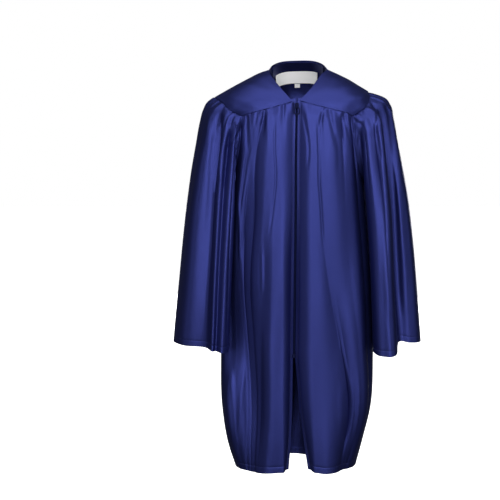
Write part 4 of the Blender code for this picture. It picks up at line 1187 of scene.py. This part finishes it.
def thread():
    material, shader = node_material("navy_thread", (0.02, 0.025, 0.12, 1), 0.6)
    places = add(material, "ShaderNodeTexCoord")
    twist = noise(material, places.outputs["Object"], 3000, (1, 1, 1))
    colour = blended(material, twist, (0.014, 0.018, 0.09, 1), (0.026, 0.032, 0.15, 1))
    link(material, colour, shader.inputs["Base Color"])
    return material


def make_stage():
    """A pale floor under the gown, and soft lights."""
    material, shader = node_material("pale_floor", (0.93, 0.93, 0.93, 1), 0.9)
    shader.inputs["Emission Color"].default_value = (1, 1, 1, 1)
    shader.inputs["Emission Strength"].default_value = FLOOR_GLOW
    mesh = bpy.data.meshes.new("floor")
    half = FLOOR_SIZE / 2
    corners = [(-half, -half, FLOOR), (half, -half, FLOOR), (half, half, FLOOR), (-half, half, FLOOR)]
    mesh.from_pydata(corners, [], [(0, 1, 2, 3)])
    mesh.materials.append(material)
    floor = bpy.data.objects.new("floor", mesh)
    bpy.context.scene.collection.objects.link(floor)
    floor.visible_diffuse = False
    floor.visible_glossy = False
    for name, place, aim, width, height, power in LAMPS:
        data = bpy.data.lights.new(name, "AREA")
        data.shape = "RECTANGLE"
        data.size = width
        data.size_y = height
        data.energy = power
        lamp = bpy.data.objects.new(name, data)
        lamp.location = place
        away = Vector(aim) - Vector(place)
        lamp.rotation_euler = away.to_track_quat("-Z", "Y").to_euler()
        bpy.context.scene.collection.objects.link(lamp)
    world = bpy.data.worlds.new("studio")
    world.use_nodes = True
    nodes, links = world.node_tree.nodes, world.node_tree.links
    ambient = nodes["Background"]
    ambient.inputs["Color"].default_value = (1, 1, 1, 1)
    ambient.inputs["Strength"].default_value = AMBIENT
    seen = nodes.new("ShaderNodeBackground")
    seen.inputs["Color"].default_value = (1, 1, 1, 1)
    mix = nodes.new("ShaderNodeMixShader")
    rays = nodes.new("ShaderNodeLightPath")
    links.new(rays.outputs["Is Camera Ray"], mix.inputs["Fac"])
    links.new(ambient.outputs["Background"], mix.inputs[1])
    links.new(seen.outputs["Background"], mix.inputs[2])
    links.new(mix.outputs["Shader"], nodes["World Output"].inputs["Surface"])
    bpy.context.scene.world = world
    bpy.context.scene.view_settings.view_transform = "Standard"


def finer(at, drop, seed):
    """How far gathers and ripples move points out."""
    return gathers(at, drop, seed) + ripples(at, drop, seed + 1) * ease(drop / RIPPLE_START)


def ditch(drop):
    return SEAM_DITCH * np.exp(-((drop / SEAM_DITCH_WIDTH) ** 2))


def groove(from_line):
    return STITCH_GROOVE * np.exp(-(from_line**2))


def make_panel(node, panel, table, material, stitching, sewn_column=None):
    """A front or the back, with its finer form, its turned hem and its stitches."""
    grid, at, drop = panel
    hem = HEM_TURN - (drop[-1] - drop)
    inside = ease(np.minimum(at - at[:, :1], at[:, -1:] - at) / EDGE_FADE)
    out = (finer(at, drop, SEEDS[node]) + creased(grid, table)) * inside - ditch(drop)
    out = np.clip(out - groove(hem) * inside, -INWARD_LIMIT, OUTWARD_LIMIT)
    grid = displaced(grid, grid * (0, 0, 1), False, out)
    centre = grid * (0, 0, 1)
    cloth("satin_" + node, node, grid, centre, material, at, drop, "gathered", turned=hem / TURN_EASE)
    turn = np.argmin(np.abs(hem[:, len(hem[0]) // 2]))
    lines = [row_line(grid, centre, False, turn)]
    if sewn_column is not None:
        lines.append(column_line(grid, centre, sewn_column))
    sewn("stitches_" + node, lines, stitching)


def make_sleeves(material, stitching):
    for side, front, back in (
        ("right", RIGHT_SLEEVE_CREASES, RIGHT_SLEEVE_BACK_CREASES),
        ("left", LEFT_SLEEVE_CREASES, LEFT_SLEEVE_BACK_CREASES),
    ):
        grid, at, drop = sleeve(side)
        node = "sleeve_" + side
        outward = normals(grid, grid.mean(axis=1, keepdims=True), True)
        cuff = CUFF_TURN - (drop[-1] - drop)
        away = outward[..., 0] * (1 if side == "left" else -1)
        under = ease((away + UNDERARM_FADE[0]) / UNDERARM_FADE[1])
        from_tip = np.minimum(at, at.max() - at) / at.max()
        cap = ease((CAP_SHARE - from_tip) / CAP_FADE)
        out = gathers(at, drop, SEEDS[node]) * under * cap
        out += ripples(at, drop, SEEDS[node] + 1) * ease(drop / RIPPLE_START) * under
        out += creased(grid, front) * ease(-2 * outward[..., 1])
        out += creased(grid, back) * ease(2 * outward[..., 1])
        out = np.clip(out - ditch(drop) - groove(cuff), -INWARD_LIMIT, OUTWARD_LIMIT)
        grid = grid + outward * out[..., None]
        middle = grid.mean(axis=1, keepdims=True)
        turned = cuff / TURN_EASE
        cloth("satin_" + node, node, grid, middle, material, at, drop, "gathered", True, turned)
        turn = np.argmin(np.abs(cuff[:, 0]))
        sewn("stitches_" + node, [row_line(grid, middle, True, turn)], stitching)


def make_yoke(node, grid, material):
    """A yoke with a low rounded ridge along its edges, where its seams are turned under."""
    centre = np.array(YOKE_CENTRE)
    down = np.linalg.norm(np.diff(grid, axis=0, prepend=grid[:1]), axis=-1).cumsum(axis=0)
    over = np.linalg.norm(np.diff(grid, axis=1, prepend=grid[:, :1]), axis=-1).cumsum(axis=1)
    edge = np.minimum(down, down[-1] - down)
    edge = np.minimum(edge, np.minimum(over, over[:, -1:] - over))
    out = ripples(over, down, SEEDS[node], *YOKE_RIPPLE) * ease(edge / YOKE_EDGE_FADE)
    out += SEAM_RIDGE * np.exp(-(((edge - SEAM_RIDGE_AT) / SEAM_RIDGE_AT) ** 2))
    out -= groove((edge - YOKE_STITCH_AT) / GROOVE_WIDTH)
    cloth("satin_" + node, node, displaced(grid, centre, False, out), centre, material, over, down, "draped")


def make_labels(cloth_material, label_material, stitching):
    """The band inside the back of the neck, and two bare labels below it."""
    sewing = {"neck_band": stitching, "neck_label": label_material, "size_label": label_material}
    back = back_yoke()
    centre = np.array(YOKE_CENTRE)
    inside = back - normals(back, centre, False) * (WALL + LABEL_GAP)
    for name, x_range, rows, kind in (
        ("neck_band", NECK_BAND_X, NECK_BAND_ROWS, cloth_material),
        ("neck_label", LABEL_X, LABEL_ROWS, label_material),
        ("size_label", SIZE_LABEL_X, SIZE_LABEL_ROWS, label_material),
    ):
        grid = window(inside, x_range, np.linspace(*rows, LABEL_GRID[0]), LABEL_GRID[1])
        over = np.linalg.norm(np.diff(grid, axis=1, prepend=grid[:, :1]), axis=-1).cumsum(axis=1)
        down = np.linalg.norm(np.diff(grid, axis=0, prepend=grid[:1]), axis=-1).cumsum(axis=0)
        cloth("bare_" + name, name, grid, centre, kind, over, down, "laid")
        points = grid[LABEL_STITCH_ROW]
        sewn("stitches_" + name, [(points, unit(centre * (0, 0, 1) - points * (1, 1, 0)))], sewing[name])


def dress_zip(materials):
    """The zip's own solids keep their form and take their finishes."""
    kinds = {"zip": "tape", "zip_slider": "metal", "zip_pull": "metal", "zip_stop": "metal"}
    for node, kind in kinds.items():
        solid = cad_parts[node]
        solid.data.materials.clear()
        solid.data.materials.append(materials[kind])
        if kind == "metal":
            rounding = solid.modifiers.new("rounding", "BEVEL")
            rounding.width = METAL_ROUNDING * MM
            rounding.segments = METAL_ROUNDING_STEPS
            rounding.limit_method = "ANGLE"
    make_teeth(materials["metal"])


make_camera()
make_stage()
materials = {"satin": satin(), "ribbon": ribbon(), "tape": tape(), "metal": lacquer(), "thread": thread()}
for side in ("right", "left"):
    make_yoke("yoke_front_" + side, front_yoke(side), materials["satin"])
make_yoke("yoke_back", back_yoke(), materials["satin"])
welt_stitches = round(FRONT_STEPS * WELT_STITCH_SHARE)
for side, table in (("right", RIGHT_FRONT_CREASES), ("left", LEFT_FRONT_CREASES)):
    kinds = materials["satin"], materials["thread"]
    make_panel("front_" + side, front_panel(side), table, *kinds, welt_stitches)
make_panel("back", back_panel(), BACK_CREASES, materials["satin"], materials["thread"])
make_sleeves(materials["satin"], materials["thread"])
make_labels(materials["satin"], materials["ribbon"], materials["thread"])
dress_zip(materials)
